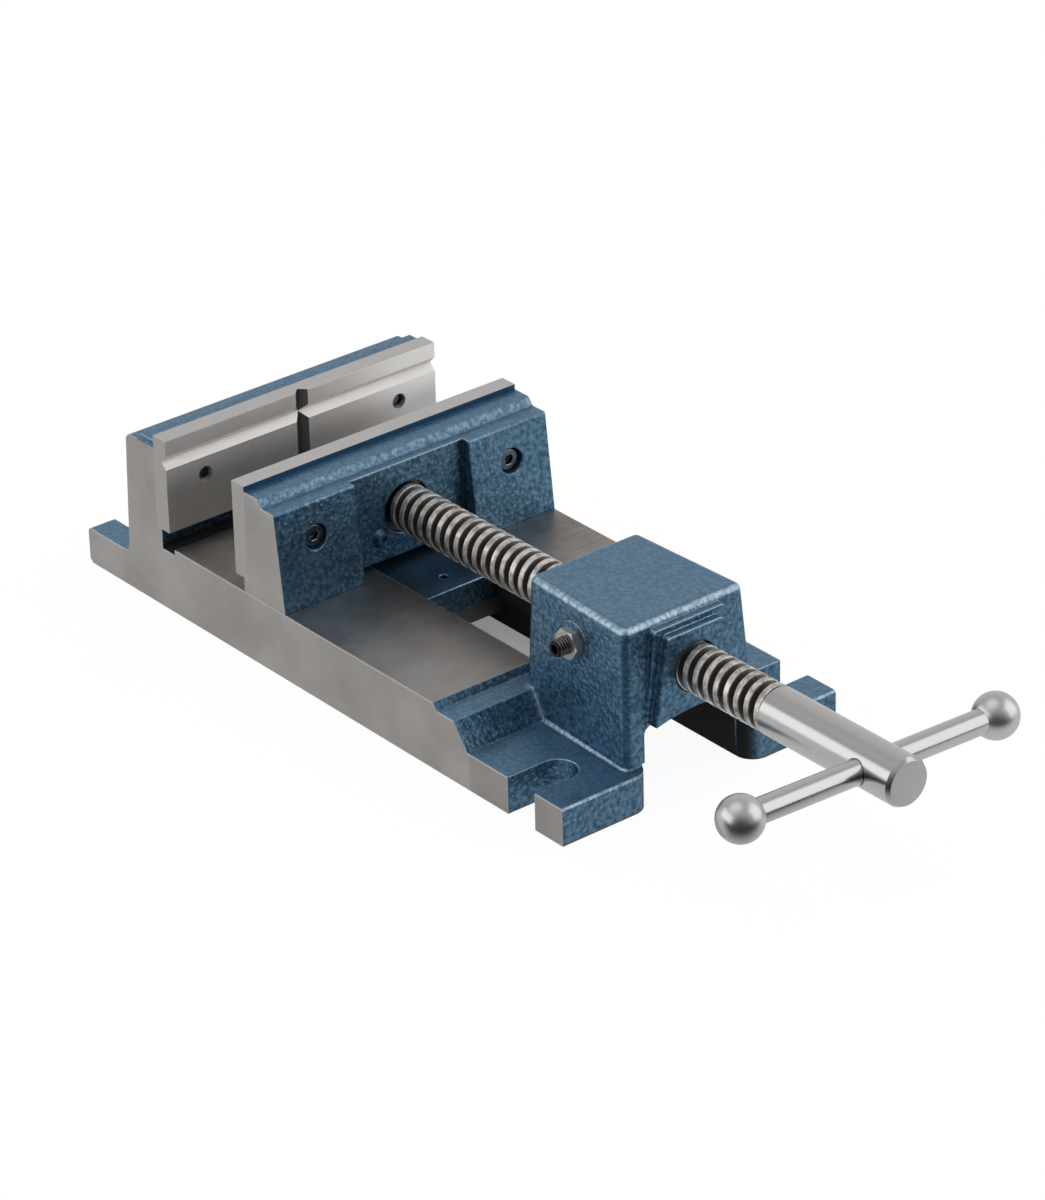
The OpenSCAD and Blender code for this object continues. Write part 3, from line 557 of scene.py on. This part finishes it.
def paint_colour(tree, place, flat, edges, enamel, tongue_shade_boxes, lit_edge_boxes, no_highlight_box):
    tilt = parts(tree, edges["Normal"])["Z"]
    depth = use(tree, corner_shade, Reach=shade_reach)["Depth"]
    # A painted highlight along the lower edge of the jaw's recess, which also keeps the corner shade off it.
    pale_marks = any_box(tree, lit_edge_boxes)
    # Painted highlight along the edges that look up, away from the corners and the screw heads.
    edge_highlight = product(tree, edges["Edge"], spread(tree, tilt, low=0.15, high=0.5), left_over(tree, depth),
                   left_over(tree, any_box(tree, [no_highlight_box])))
    # The fillets round the housing's foot get a painted highlight in their inner corners, instead of the
    # corner shade.
    foot_fillets = region(tree, place, x=housing_sides, y=(slope_y, housing_back), z=(foot_z, way_z))
    highlights = most(tree, edge_highlights(tree, place, tilt),
                product(tree, foot_fillets, spread(tree, depth, low=0.25, high=0.6)), pale_marks)
    highlights = product(tree, highlights, spread(tree, enamel["Cell"], low=0.1, high=0.7, to_low=0.5, to_high=1.0))
    # Painted shade darkens the housing's upright corners.
    upright_shade = product(tree, upright_corners(tree, place, flat), upright_shade_share)
    # Painted shade on the tongue under the jaw and the screw, lighter towards the jaw's front.
    tongue_shade = product(tree, any_box(tree, tongue_shade_boxes), left_over(tree, edge_highlight, tongue_shade_share),
                    spread(tree, place["Y"], jaw_front, jaw_front + tongue_shade_l, to_low=0.55, to_high=1.0))
    # Painted shade in inner corners, weaker in front of the bosses and kept off the recess edge and the
    # fillets.
    depth = product(tree, depth, left_over(tree, pale_marks), left_over(tree, foot_fillets), corner_shade_share,
                    spread(tree, place["Y"], boss_y, boss_y + boss_shade_l, to_low=0.4, to_high=1.0))
    soiled = spread(tree, place["Z"], sole_z, clean_z, to_low=0.8, to_high=0.0)
    paint = enamel["Color"]
    for share, layer in ((upright_shade, deep_blue), (most(tree, edge_highlight, highlights), highlight_blue), (tongue_shade, tongue_shade_blue),
                         (depth, corner_shade_blue), (soiled, iron_foot)):
        paint = blend(tree, "RGBA", share, paint, layer)
    return paint


print("layers of paint ready")

# %% The iron's layers
stain_l = 90.0 * mm
slope_stain_l = 2.0 * mm
iron_highlight_share = 0.6


def streaked(tree, kind, marks, first, second):
    """Goes from the first value to the second as the marks get lighter."""
    return blend(tree, kind, spread(tree, marks["Tone"], low=0.3, high=0.7), first, second)


def iron_colour(tree, place, edges, marks):
    tilt = parts(tree, edges["Normal"])["Z"]
    clouds = noise(tree, own_place(tree), scale=45.0, detail=4.0, roughness=0.65)
    stain = product(tree, spread(tree, tilt, low=0.8, high=0.95),
                    spread(tree, clouds, low=0.35, high=0.65, to_low=0.5, to_high=1.0),
                    spread(tree, place["Y"], way_front, way_front + stain_l, to_low=0.0, to_high=0.65))
    front = spread(tree, place["Y"], slope_y - slope_stain_l, slope_y, to_low=0.22, to_high=0.0)
    iron = streaked(tree, "RGBA", marks, dark_iron, bare_iron)
    iron = blend(tree, "RGBA", most(tree, stain, front), iron, iron_foot)
    # A painted highlight along the bare iron's edges.
    return blend(tree, "RGBA", product(tree, edges["Edge"], iron_highlight_share), iron, iron_highlight)


print("layers of iron ready")

# %% One finish for a casting
cast_edge_r = 1.2 * mm
dimple_d = 0.2 * mm
dimple_strength = 0.7
enamel_metal = 0.8
shade_metal = 0.0
iron_metal = 0.95
shade_roughness = 0.9
iron_roughness = 0.38


def casting_finish(name, bare_boxes, shade_boxes, tongue_shade_boxes, lit_edge_boxes, no_highlight_box):
    material, tree, shader = principled(name)
    place = parts(tree, own_place(tree))
    flat = parts(tree, node(tree, "ShaderNodeNewGeometry").outputs["Normal"])
    edges = use(tree, rounded_edges, Radius=cast_edge_r)
    enamel = use(tree, hammered, **enamel_values)
    marks = use(tree, ground_marks, Normal=edges["Normal"], Along=side, Amount=0.35, Fineness=2600.0)
    dimples = node(tree, "ShaderNodeBump")
    dimples.inputs["Strength"].default_value = dimple_strength
    dimples.inputs["Distance"].default_value = dimple_d
    put(tree, dimples.inputs["Height"], enamel["Height"])
    put(tree, dimples.inputs["Normal"], edges["Normal"])
    bare = any_box(tree, bare_boxes)
    shaded = most(tree, any_box(tree, shade_boxes), arch_walls(tree, place, flat))
    paint = paint_colour(tree, place, flat, edges, enamel, tongue_shade_boxes, lit_edge_boxes, no_highlight_box)
    iron = iron_colour(tree, place, edges, marks)
    for socket, kind, painted, rough, machined in (
            ("Base Color", "RGBA", paint, shade_black, iron),
            ("Metallic", "FLOAT", enamel_metal, shade_metal, iron_metal),
            ("Roughness", "FLOAT", enamel["Roughness"], shade_roughness, iron_roughness)):
        put(tree, shader[socket], blend(tree, kind, bare, blend(tree, kind, shaded, painted, rough), machined))
    put(tree, shader["Normal"], blend(tree, "VECTOR", bare, dimples.outputs[0], marks["Normal"]))
    return material


print("casting finish ready")

# %% The base and the moving jaw
def round_heads(name, margin=2.0 * mm):
    """The box round a jaw's screw heads, where no highlight is painted on an edge."""
    low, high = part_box(name)
    return (-side_x, -far, low.z - margin), (side_x, far, high.z + margin), nearly_lengthwise


base_bare = [
    ((side_x, -far, -far), (far, far, flat_z), side),
    (low_end, (-side_x, far, flat_z), side),
    ((-far, way_front, way_z - slack), (far, way_back, way_z + slack), upward),
    (low_end, (far, far, thin_slack), upward),
]
# Near-black painted shade in the relief, the slot between the rails and under the arch.
base_shade = [
    ((-side_x, relief_front, way_z - relief_d), (side_x, relief_back, way_z - thin_slack), any_way),
    ((-arch_x, channel_front, -far), (arch_x, channel_back, channel_z), any_way),
    ((-arch_x, arch_front, -far), (arch_x, housing_back, arch_z), sides_and_tops),
    ((-arch_x, -far, foot_z), (arch_x, housing_back, lower_arch_z), sides_and_tops),
    ((-slot_x, housing_back, -far), (slot_x, far, way_z + slack), side),
]
jaw_bare = [
    ((side_x, -far, -far), high_end, side),
    (low_end, (-side_x, far, far), side),
    (low_end, (far, far, way_z + slack), side),
    ((-far, -far, way_z - thin_slack), (far, far, way_z + slack), upward),
    (low_end, (far, far, tongue_sole_z), upward),
]
# Painted shade on the tongue's top and the faces below the ways, under the jaw.
tongue_shade_top = way_z - 0.5 * mm
jaw_tongue_shade = [
    ((-slot_x, -far, way_z - tongue_top), (slot_x, far, tongue_shade_top), upward),
    ((-slot_x, -far, -far), (slot_x, far, tongue_shade_top), lengthwise),
]
# A painted highlight along the lower edge of the jaw's recess.
jaw_lit_edge = [((-recess_x, -far, recess_low), (recess_x, far, recess_high), lengthwise)]
for name, finish in (
        ("base_casting", casting_finish("base_enamel", base_bare, base_shade, [], [],
                                        round_heads("fixed_plate_screws"))),
        ("moving_jaw", casting_finish("jaw_enamel", jaw_bare, [], jaw_tongue_shade, jaw_lit_edge,
                                      round_heads("moving_plate_screws")))):
    nodes[name].material_slots[0].material = finish
    print(finish.name, "on", name)

# %% [markdown]
# ## The steels
# The jaw plates are surface ground along their length, the screw and the handle are turned, and the
# screws are black from their oxide bath. Each has two tones, a roughness and marks of its own. One
# function builds them all, because a ground finish and a turned one differ only in their marks.

# %% Steel finishes
fine_edge_r = 0.3 * mm
roughness_swing = 0.04


def steel_finish(name, light, dark, roughness, edge, group, **values):
    material, tree, shader = principled(name)
    edges = use(tree, rounded_edges, Radius=edge)
    marks = use(tree, group, Normal=edges["Normal"], **values)
    steel = streaked(tree, "RGBA", marks, dark, light)
    put(tree, shader["Base Color"], steel)
    shader["Metallic"].default_value = 1.0
    put(tree, shader["Roughness"], streaked(tree, "FLOAT", marks, roughness - roughness_swing,
                                            roughness + roughness_swing))
    put(tree, shader["Normal"], marks["Normal"])
    return SimpleNamespace(material=material, tree=tree, shader=shader, edges=edges, marks=marks, steel=steel)


def ground_steel(name, light, dark, along, amount, roughness, edge=fine_edge_r):
    return steel_finish(name, light, dark, roughness, edge, ground_marks, Along=along, Amount=amount,
                        Fineness=6000.0)


def turned_steel(name, light, dark, centre, axis, amount, roughness, edge=fine_edge_r):
    return steel_finish(name, light, dark, roughness, edge, turned_marks, Centre=tuple(centre),
                        Axis=tuple(axis), Amount=amount, Fineness=14000.0)


def middle(name):
    low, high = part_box(name)
    return (low + high) / 2


def wear(names, finish):
    for name in names:
        nodes[name].material_slots[0].material = finish.material
    print(finish.material.name, "on", ", ".join(names))


print("steel finishes ready")

# %% [markdown]
# ## The jaw plates
# The plates' colour carries painted reflections of the studio: the long groove's lower flank and the face just
# below it are painted pale, the ends are painted duller, and the upright groove's walls and the holes are
# painted dark as shade. More lamps could give these tones, but they would light the castings too, so the
# finish itself carries them. The strip of each plate's back that stands above its casting was painted with
# the casting.

# %% The jaw plates
vee_z = 74.4 * mm
vee_d = 4.0 * mm
pale_low = vee_z - 17.0 * mm
pale_high = vee_z - 2.0 * mm
groove_x = 3.6 * mm
holes_x = 70.0 * mm
hole_r = 5.0 * mm
holes_z = middle("fixed_plate_screws").z
painted_z = 82.7 * mm
upright_flank = (0.75, 0.75, 0.0)
long_flank = (0.0, 0.75, 0.75)
hole_wall = (1.3, 0.0, 1.3)
plates = ground_steel("plate_steel", colour(0.66, 0.645, 0.63), colour(0.58, 0.565, 0.55), side,
                      amount=0.4, roughness=0.4)
tree = plates.tree
ends_shade = any_box(tree, [(low_end, high_end, side)])
lower_flank_highlight = any_box(tree, [((-far, -far, vee_z - vee_d), (far, far, vee_z), long_flank)])
pale_reflection = product(tree, spread(tree, parts(tree, own_place(tree))["Z"], pale_low, pale_high, to_high=0.95),
               any_box(tree, [(low_end, high_end, lengthwise)]))
painted_backs = any_box(tree, [((-far, y - thin_slack, painted_z), (far, y + thin_slack, far), lengthwise)
                               for y in (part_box("moving_jaw_plate")[0].y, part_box("fixed_jaw_plate")[1].y)])
hollows_shade = any_box(tree, [
    ((-groove_x, -far, -far), (groove_x, far, far), upright_flank),
    ((-holes_x, -far, holes_z - hole_r), (holes_x, far, holes_z + hole_r), hole_wall),
])
steel = plates.steel
for share, layer in ((ends_shade, colour(0.45, 0.435, 0.42)), (lower_flank_highlight, colour(0.86, 0.84, 0.82)),
                     (pale_reflection, colour(1.0, 0.98, 0.96)), (painted_backs, deep_blue),
                     (hollows_shade, colour(0.14, 0.135, 0.13))):
    steel = blend(tree, "RGBA", share, steel, layer)
put(tree, plates.shader["Base Color"], steel)
plates.shader["Metallic"].default_value = 0.75
wear(["fixed_jaw_plate", "moving_jaw_plate"], plates)

# %% [markdown]
# ## Screws, nut, bush and handle
# The hidden plain steel is painted dark, for the shade it lies in. A painted blue-grey highlight runs along
# the rims of a screw's head, and the black oxide is worn thin on the crests of the set screw's thread. The
# balls have a flat at their outer end. The photograph shows at most a faint line of one, on the left ball,
# so the balls are shaded round: their normals point straight out from the ball's middle.

# %% Plain steel and black oxide
# Painted shade: the hidden steel under the jaw is coloured dark.
wear(["keeper_plate", "keeper_washers", "keeper_spring_washers", "thrust_washer", "spindle_fork"],
     ground_steel("plain_steel", colour(0.2, 0.195, 0.19), colour(0.12, 0.115, 0.11), side,
                  amount=0.25, roughness=0.4))
rim_r = 0.9 * mm
rim_highlight_share = 0.8
oxide = ground_steel("black_oxide", colour(0.13, 0.17, 0.20), colour(0.07, 0.09, 0.11), upward,
                     amount=0.2, roughness=0.34, edge=rim_r)
# A painted blue-grey highlight along the rims of the screws' heads.
put(oxide.tree, oxide.shader["Base Color"], blend(
    oxide.tree, "RGBA", product(oxide.tree, oxide.edges["Edge"], rim_highlight_share), oxide.steel,
    colour(0.5, 0.6, 0.68)))
wear(["fixed_plate_screws", "moving_plate_screws", "keeper_screws"], oxide)

# %% The set screw, its nut and the bush
joints = {joint["name"]: joint for joint in frame["record"]["behaviour"]["joints"]}
screw_z = joints["screw_turn"]["pos_m"][2]
screw_centre = (0.0, 0.0, screw_z)
set_middle = middle("bush_set_screw")
set_dark_r = 3.45 * mm
set_light_r = 3.85 * mm
set_oxide = turned_steel("set_screw_oxide", colour(0.05, 0.048, 0.045), colour(0.02, 0.02, 0.02),
                         set_middle, side, amount=0.2, roughness=0.4)
put(set_oxide.tree, set_oxide.shader["Base Color"], blend(
    set_oxide.tree, "RGBA", spread(set_oxide.tree, set_oxide.marks["Radius"], set_dark_r, set_light_r),
    set_oxide.steel, colour(0.20, 0.19, 0.18)))
wear(["bush_set_screw"], set_oxide)
nut = turned_steel("nut_steel", colour(0.66, 0.63, 0.58), colour(0.48, 0.455, 0.42), set_middle, side,
                   amount=0.25, roughness=0.34)
nut.shader["Metallic"].default_value = 0.85
wear(["set_screw_nut"], nut)
wear(["spindle_bush"], turned_steel("turned_bronze", colour(0.55, 0.36, 0.16), colour(0.40, 0.25, 0.11),
                                    screw_centre, lengthwise, amount=0.2, roughness=0.35))

# %% The handle and its balls
handle_middle = middle("handle_bar")
handle_axis = Vector(joints["handle_slide"]["axis"])
wear(["handle_bar"], turned_steel("handle_steel", colour(0.61, 0.60, 0.59), colour(0.57, 0.56, 0.55),
                                  handle_middle, handle_axis, amount=0.12, roughness=0.2))
for name in ("handle_ball_left", "handle_ball_right"):
    ball = turned_steel(name + "_steel", colour(0.66, 0.65, 0.64), colour(0.60, 0.59, 0.58),
                        handle_middle, handle_axis, amount=0.2, roughness=0.32)
    out = vector(ball.tree, "SUBTRACT", own_place(ball.tree), tuple(middle(name)))
    put(ball.tree, ball.marks["Normal"].node.inputs["Normal"], to_world(ball.tree, out))
    wear([name], ball)

# %% Painted screw heads
# A painted highlight along the edges of the painted screw heads.
head_edge_r = 0.5 * mm
head_highlight_share = 0.5


def enamel_finish(name):
    material, tree, shader = principled(name)
    edges = use(tree, rounded_edges, Radius=head_edge_r)
    enamel = use(tree, hammered, **enamel_values)
    put(tree, shader["Base Color"], blend(tree, "RGBA", product(tree, edges["Edge"], head_highlight_share),
                                          enamel["Color"], highlight_blue))
    shader["Metallic"].default_value = enamel_metal
    put(tree, shader["Roughness"], enamel["Roughness"])
    put(tree, shader["Normal"], edges["Normal"])
    return SimpleNamespace(material=material)


wear(["spindle_fork_screws"], enamel_finish("screw_enamel"))

# %% [markdown]
# ## The screw
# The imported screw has 24 flat sides a turn, which is enough for its weight and its contacts, but a
# polished thread shows every one of them. This piece stands for it: one turn's outline is a few points,
# and a spin that climbs as it turns winds it into the thread. The neck and the shank are turned outlines,
# and a Boolean drills the handle's hole, because no single operator cuts a round hole through a bar.

# %% Sizes of the thread and the neck
pitch = 6.35 * mm
crest_r = 11.02 * mm
root_r = crest_r - 2.85 * mm
flank = 0.75 * mm
crest = 2.8 * mm
nip = 0.15 * mm
ease = 0.05 * mm
steps = 40
thread_y = -73.25 * mm
thread_l = 247.6 * mm
neck_r = 6.5 * mm
groove_r = 4.8 * mm
neck_l = 6.2 * mm
groove_l = 3.6 * mm
nose_l = 3.0 * mm
chamfer = 0.3 * mm
neck_overlap = 2.0 * mm
print("thread", crest_r, "m in radius,", pitch, "m a turn")

# %% Sizes of the shank and its hole
shank_r = 11.1 * mm
shank_l = 79.0 * mm
shank_overlap = 1.0 * mm
bevel_l = 2.0 * mm
bevel_d = 1.05 * mm
bevel_ease = 0.1 * mm
bevel_ease_l = 0.15 * mm
cross_hole_r = 5.65 * mm
hole_back = 20.3 * mm
drill_l = 30.0 * mm
screw_l = thread_l + shank_l
handle_y = thread_y - screw_l + hole_back
print("handle's hole at", handle_y, "m")

# %% Turning an outline
def lathe(bm, outline, sides):
    """Turns an outline of (radius, height) points once round Z."""
    points = [bm.verts.new((r, 0.0, z)) for r, z in outline]
    edges = [bm.edges.new(pair) for pair in zip(points, points[1:])]
    bmesh.ops.spin(bm, geom=points + edges, cent=(0, 0, 0), axis=(0, 0, 1), dvec=(0, 0, 0),
                   angle=2 * math.pi, steps=sides, use_merge=True)


def shape(name, bm, place=Matrix.Identity(4), merge_l=0.002 * mm, sharp=math.radians(32)):
    """Puts a finished mesh in the frame, with clean outward faces, and makes its object."""
    bmesh.ops.remove_doubles(bm, verts=bm.verts, dist=merge_l)
    bmesh.ops.transform(bm, matrix=place, verts=bm.verts)
    bmesh.ops.recalc_face_normals(bm, faces=bm.faces)
    mesh = bpy.data.meshes.new(name)
    bm.to_mesh(mesh)
    bm.free()
    mesh.shade_smooth()
    mesh.set_sharp_from_angle(angle=sharp)
    made = bpy.data.objects.new(name, mesh)
    bpy.context.collection.objects.link(made)
    return made


print("lathe ready")

# %% The thread
turns = round(thread_l / pitch * steps) / steps
weld = 0.005 * mm
screw_bm = bmesh.new()
one_turn = [(root_r, 0.0), (root_r + nip, ease), (crest_r - nip, flank - ease), (crest_r, flank + nip),
            (crest_r, flank + crest - nip), (crest_r - nip, flank + crest + ease),
            (root_r + nip, 2 * flank + crest - ease), (root_r, 2 * flank + crest), (root_r, pitch)]
points = [screw_bm.verts.new((r, 0.0, z)) for r, z in one_turn]
edges = [screw_bm.edges.new(pair) for pair in zip(points, points[1:])]
bmesh.ops.spin(screw_bm, geom=points + edges, cent=(0, 0, 0), axis=(0, 0, 1), dvec=(0, 0, pitch / steps),
               angle=2 * math.pi * turns, steps=round(turns * steps))
bmesh.ops.remove_doubles(screw_bm, verts=screw_bm.verts, dist=weld)
open_edges = [edge for edge in screw_bm.edges if edge.is_boundary]
for top in (False, True):
    rim = [edge for edge in open_edges if (edge.verts[0].co.z > thread_l / 2) == top]
    grown = bmesh.ops.extrude_edge_only(screw_bm, edges=rim)["geom"]
    tip = [part for part in grown if isinstance(part, bmesh.types.BMVert)]
    tip_z = thread_l + pitch if top else 0.0
    bmesh.ops.pointmerge(screw_bm, verts=tip, merge_co=(0, 0, tip_z))
print("thread of", turns, "turns,", len(screw_bm.faces), "faces")

# %% The neck and the shank
groove_z = -neck_l - groove_l
nose_z = groove_z - nose_l
neck = [(0, nose_z), (neck_r - chamfer, nose_z), (neck_r, nose_z + chamfer), (neck_r, groove_z),
        (groove_r, groove_z), (groove_r, -neck_l), (neck_r, -neck_l), (neck_r, neck_overlap),
        (0, neck_overlap)]
lathe(screw_bm, neck, sides=64)
to_frame = Matrix.Translation((0, thread_y, screw_z)) @ Matrix.Rotation(math.radians(90), 4, "X")
bmesh.ops.transform(screw_bm, matrix=to_frame, verts=screw_bm.verts)
shank_bm = bmesh.new()
lathe(shank_bm, [(0, thread_l - shank_overlap), (root_r, thread_l - shank_overlap),
                 (shank_r - chamfer, thread_l), (shank_r, thread_l + chamfer), (shank_r, screw_l - bevel_l),
                 (shank_r - bevel_ease, screw_l - bevel_l + bevel_ease_l),
                 (shank_r - bevel_d, screw_l - bevel_ease), (shank_r - bevel_d - bevel_ease, screw_l),
                 (0, screw_l)], sides=128)
shank = shape("shank", shank_bm, to_frame)
print("shank", len(shank.data.polygons), "faces")

# %% The drilled hole
drill_bm = bmesh.new()
lathe(drill_bm, [(0, -drill_l), (cross_hole_r, -drill_l), (cross_hole_r, drill_l), (0, drill_l)], sides=96)
tilt = math.atan2(handle_axis.z, handle_axis.x)
drill = shape("drill", drill_bm, Matrix.Translation((0, handle_y, screw_z))
              @ Matrix.Rotation(-tilt, 4, "Y") @ Matrix.Rotation(math.radians(90), 4, "Y"))
cut = shank.modifiers.new("hole", "BOOLEAN")
cut.operation = "DIFFERENCE"
cut.solver = "EXACT"
cut.object = drill
drilled = shank.evaluated_get(bpy.context.evaluated_depsgraph_get()).to_mesh().copy()
for spent in (shank, drill):
    bpy.data.objects.remove(spent, do_unlink=True)
print("drilled shank", len(drilled.polygons), "faces")

# %% The whole screw
screw_bm.from_mesh(drilled)
screw = shape("screw", screw_bm)
print("screw", len(screw.data.polygons), "faces")

# %% [markdown]
# ## The screw's finish
# The thread is bright on its crests, where the bush rubs it, and darker below them, on its flanks and in its
# roots. The two could be separate materials on separate faces, but the turned marks group already gives the
# distance from the axis, so the finish only has to read that. A dark ring round the handle's hole is painted
# shade in the gap round the bar.

# %% The thread's colour
screw_edge_r = 0.05 * mm
shank_roughness = 0.22
darker_low_r = crest_r - 0.8 * mm
darker_high_r = crest_r - 0.25 * mm
darker_share = 0.92
spindle = turned_steel("screw_steel", colour(0.61, 0.60, 0.59), colour(0.56, 0.55, 0.54), screw_centre,
                       lengthwise, amount=0.1, roughness=shank_roughness, edge=screw_edge_r)
tree = spindle.tree
# Darker below the crests, on the flanks and in the roots.
below_crests = spread(tree, spindle.marks["Radius"], darker_low_r, darker_high_r, to_low=1.0, to_high=0.0)
scuffs = noise(tree, own_place(tree), scale=260.0, detail=3.0, roughness=0.6)
scuffs = spread(tree, scuffs, low=0.36, high=0.62)
pale_marks = blend(tree, "RGBA", scuffs, colour(0.44, 0.415, 0.39), colour(0.84, 0.81, 0.78))
worked = blend(tree, "RGBA", product(tree, below_crests, darker_share), pale_marks, colour(0.15, 0.135, 0.12))
print("oil up to a radius of", darker_high_r, "m")

# %% The shank's colour
border_l = 0.5 * mm
mouth_low_r = cross_hole_r + 0.05 * mm
mouth_high_r = cross_hole_r + 0.35 * mm
thread_roughness = 0.45
thread_end = thread_y - thread_l
threaded = spread(tree, spindle.marks["Along"], thread_end - border_l, thread_end + border_l)
from_hole = vector(tree, "SUBTRACT", own_place(tree), (0.0, handle_y, screw_z))
from_hole = vector(tree, "LENGTH", vector(tree, "CROSS_PRODUCT", from_hole, tuple(handle_axis)))
# Painted shade in the gap round the handle's bar.
hole_shade = spread(tree, from_hole, mouth_low_r, mouth_high_r, to_low=0.85, to_high=0.0)
steel = blend(tree, "RGBA", hole_shade, spindle.steel, colour(0.05, 0.045, 0.04))
put(tree, spindle.shader["Base Color"], blend(tree, "RGBA", threaded, steel, worked))
put(tree, spindle.shader["Roughness"], blend(tree, "FLOAT", threaded, shank_roughness, thread_roughness))
screw.data.materials.append(spindle.material)
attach(screw, "screw")
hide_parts("spindle")
print(spindle.material.name, "on", screw.name)

# %% [markdown]
# ## Floor and light
# The photograph has a white ground and a soft studio light. The floor shows as white to the camera and in
# reflections, and a share of it stays a plain matt surface, so the vise keeps its shadow. Under the rails
# it glows less, which paints shade there, and some way towards the camera it is seen dark in the steel, as
# the real room is. A plain white background would be simpler, but it would take the shadow away. The world
# is a grey room with a lighter ceiling and a dark place behind the camera, and a large softbox stands on each
# side.

# %% The floor's mesh
floor_reach = 6.0
floor_drop = 0.05 * mm
white = colour(1.0, 1.0, 1.0)
floor_bm = bmesh.new()
bmesh.ops.create_grid(floor_bm, x_segments=1, y_segments=1, size=floor_reach)
bmesh.ops.translate(floor_bm, vec=(0, 0, -floor_drop), verts=floor_bm.verts)
floor_mesh = bpy.data.meshes.new("floor")
floor_bm.to_mesh(floor_mesh)
floor_bm.free()
floor = bpy.data.objects.new("floor", floor_mesh)
bpy.context.collection.objects.link(floor)
print("floor of", 2 * floor_reach, "m")

# %% The floor's finish
camera_way = (-0.62, -0.78, 0.0)
floor_glow = 1.15
glow_share = 0.82
mirror_share = 0.55
under_shade_share = 0.25
under_x = 50.0 * mm
floor_finish = bpy.data.materials.new("floor_white")
floor_finish.use_nodes = True
tree = floor_finish.node_tree
tree.nodes.clear()
path = node(tree, "ShaderNodeLightPath").outputs
ground = parts(tree, own_place(tree))
near_camera = spread(tree, vector(tree, "DOT_PRODUCT", own_place(tree), camera_way), low=0.28, high=0.44)
# Painted shade on the floor under the rails.
under_shade = product(tree, within(tree, ground["X"], -under_x, under_x),
                within(tree, ground["Y"], housing_back, 0.0))
mirrored = product(tree, path["Is Glossy Ray"],
                   left_over(tree, product(tree, near_camera, mirror_share), mirror_share))
seen = product(tree, most(tree, path["Is Camera Ray"], mirrored),
               spread(tree, under_shade, low=0.0, high=1.0, to_low=1.0, to_high=under_shade_share))
matt = node(tree, "ShaderNodeBsdfDiffuse")
put(tree, matt.inputs["Color"], blend(tree, "RGBA", product(tree, near_camera, path["Is Glossy Ray"]),
                                      colour(0.5, 0.5, 0.5), colour(0.06, 0.06, 0.06)))
glow = node(tree, "ShaderNodeEmission")
put(tree, glow.inputs["Color"], white)
put(tree, glow.inputs["Strength"], floor_glow)
mixer = node(tree, "ShaderNodeMixShader")
for socket, value in zip(mixer.inputs, (product(tree, seen, glow_share), matt.outputs[0], glow.outputs[0])):
    put(tree, socket, value)
put(tree, node(tree, "ShaderNodeOutputMaterial").inputs[0], mixer.outputs[0])
floor.data.materials.append(floor_finish)
print(floor_finish.name, "on the floor")

# %% The world
ceiling_way = (-0.25, 0.15, 0.96)
far_right_way = (0.8, 0.6, 0.0)
behind_way = (-0.60, -0.74, -0.30)
world = bpy.data.worlds.new("studio")
bpy.context.scene.world = world
world.use_nodes = True
tree = world.node_tree
tree.nodes.clear()
way = node(tree, "ShaderNodeTexCoord").outputs["Generated"]
ceiling = spread(tree, vector(tree, "DOT_PRODUCT", way, ceiling_way), low=0.84, high=0.97, to_low=0.46)
far_right = spread(tree, vector(tree, "DOT_PRODUCT", way, far_right_way), low=0.3, high=0.9, to_high=0.2)
behind_camera = spread(tree, vector(tree, "DOT_PRODUCT", way, behind_way), low=0.3, high=0.95,
                       to_low=1.0, to_high=0.12)
grey = product(tree, calc(tree, "ADD", ceiling, far_right), behind_camera)
room = node(tree, "ShaderNodeBackground")
backdrop = node(tree, "ShaderNodeBackground")
for light, strength in ((room, grey), (backdrop, 1.0)):
    put(tree, light.inputs["Color"], white)
    put(tree, light.inputs["Strength"], strength)
mixer = node(tree, "ShaderNodeMixShader")
seen = node(tree, "ShaderNodeLightPath").outputs["Is Camera Ray"]
for socket, value in zip(mixer.inputs, (seen, room.outputs[0], backdrop.outputs[0])):
    put(tree, socket, value)
put(tree, node(tree, "ShaderNodeOutputWorld").inputs[0], mixer.outputs[0])
print("world", world.name)

# %% The softboxes
vise_middle = Vector((0, -150.0, 40.0)) * mm


def softbox(name, place, size, power):
    lamp = bpy.data.lights.new(name, "AREA")
    lamp.shape = "RECTANGLE"
    lamp.size, lamp.size_y = size
    lamp.energy = power
    box = bpy.data.objects.new(name, lamp)
    bpy.context.collection.objects.link(box)
    aim = vise_middle - Vector(place)
    box.matrix_world = Matrix.Translation(place) @ aim.to_track_quat("-Z", "Y").to_matrix().to_4x4()
    print("softbox", name, place, power, "W")


softbox("left_softbox", place=(-1.94, 0.60, 0.82), size=(3.1, 1.4), power=12.5)
softbox("right_softbox", place=(1.43, -1.35, 0.95), size=(2.0, 2.0), power=10.5)
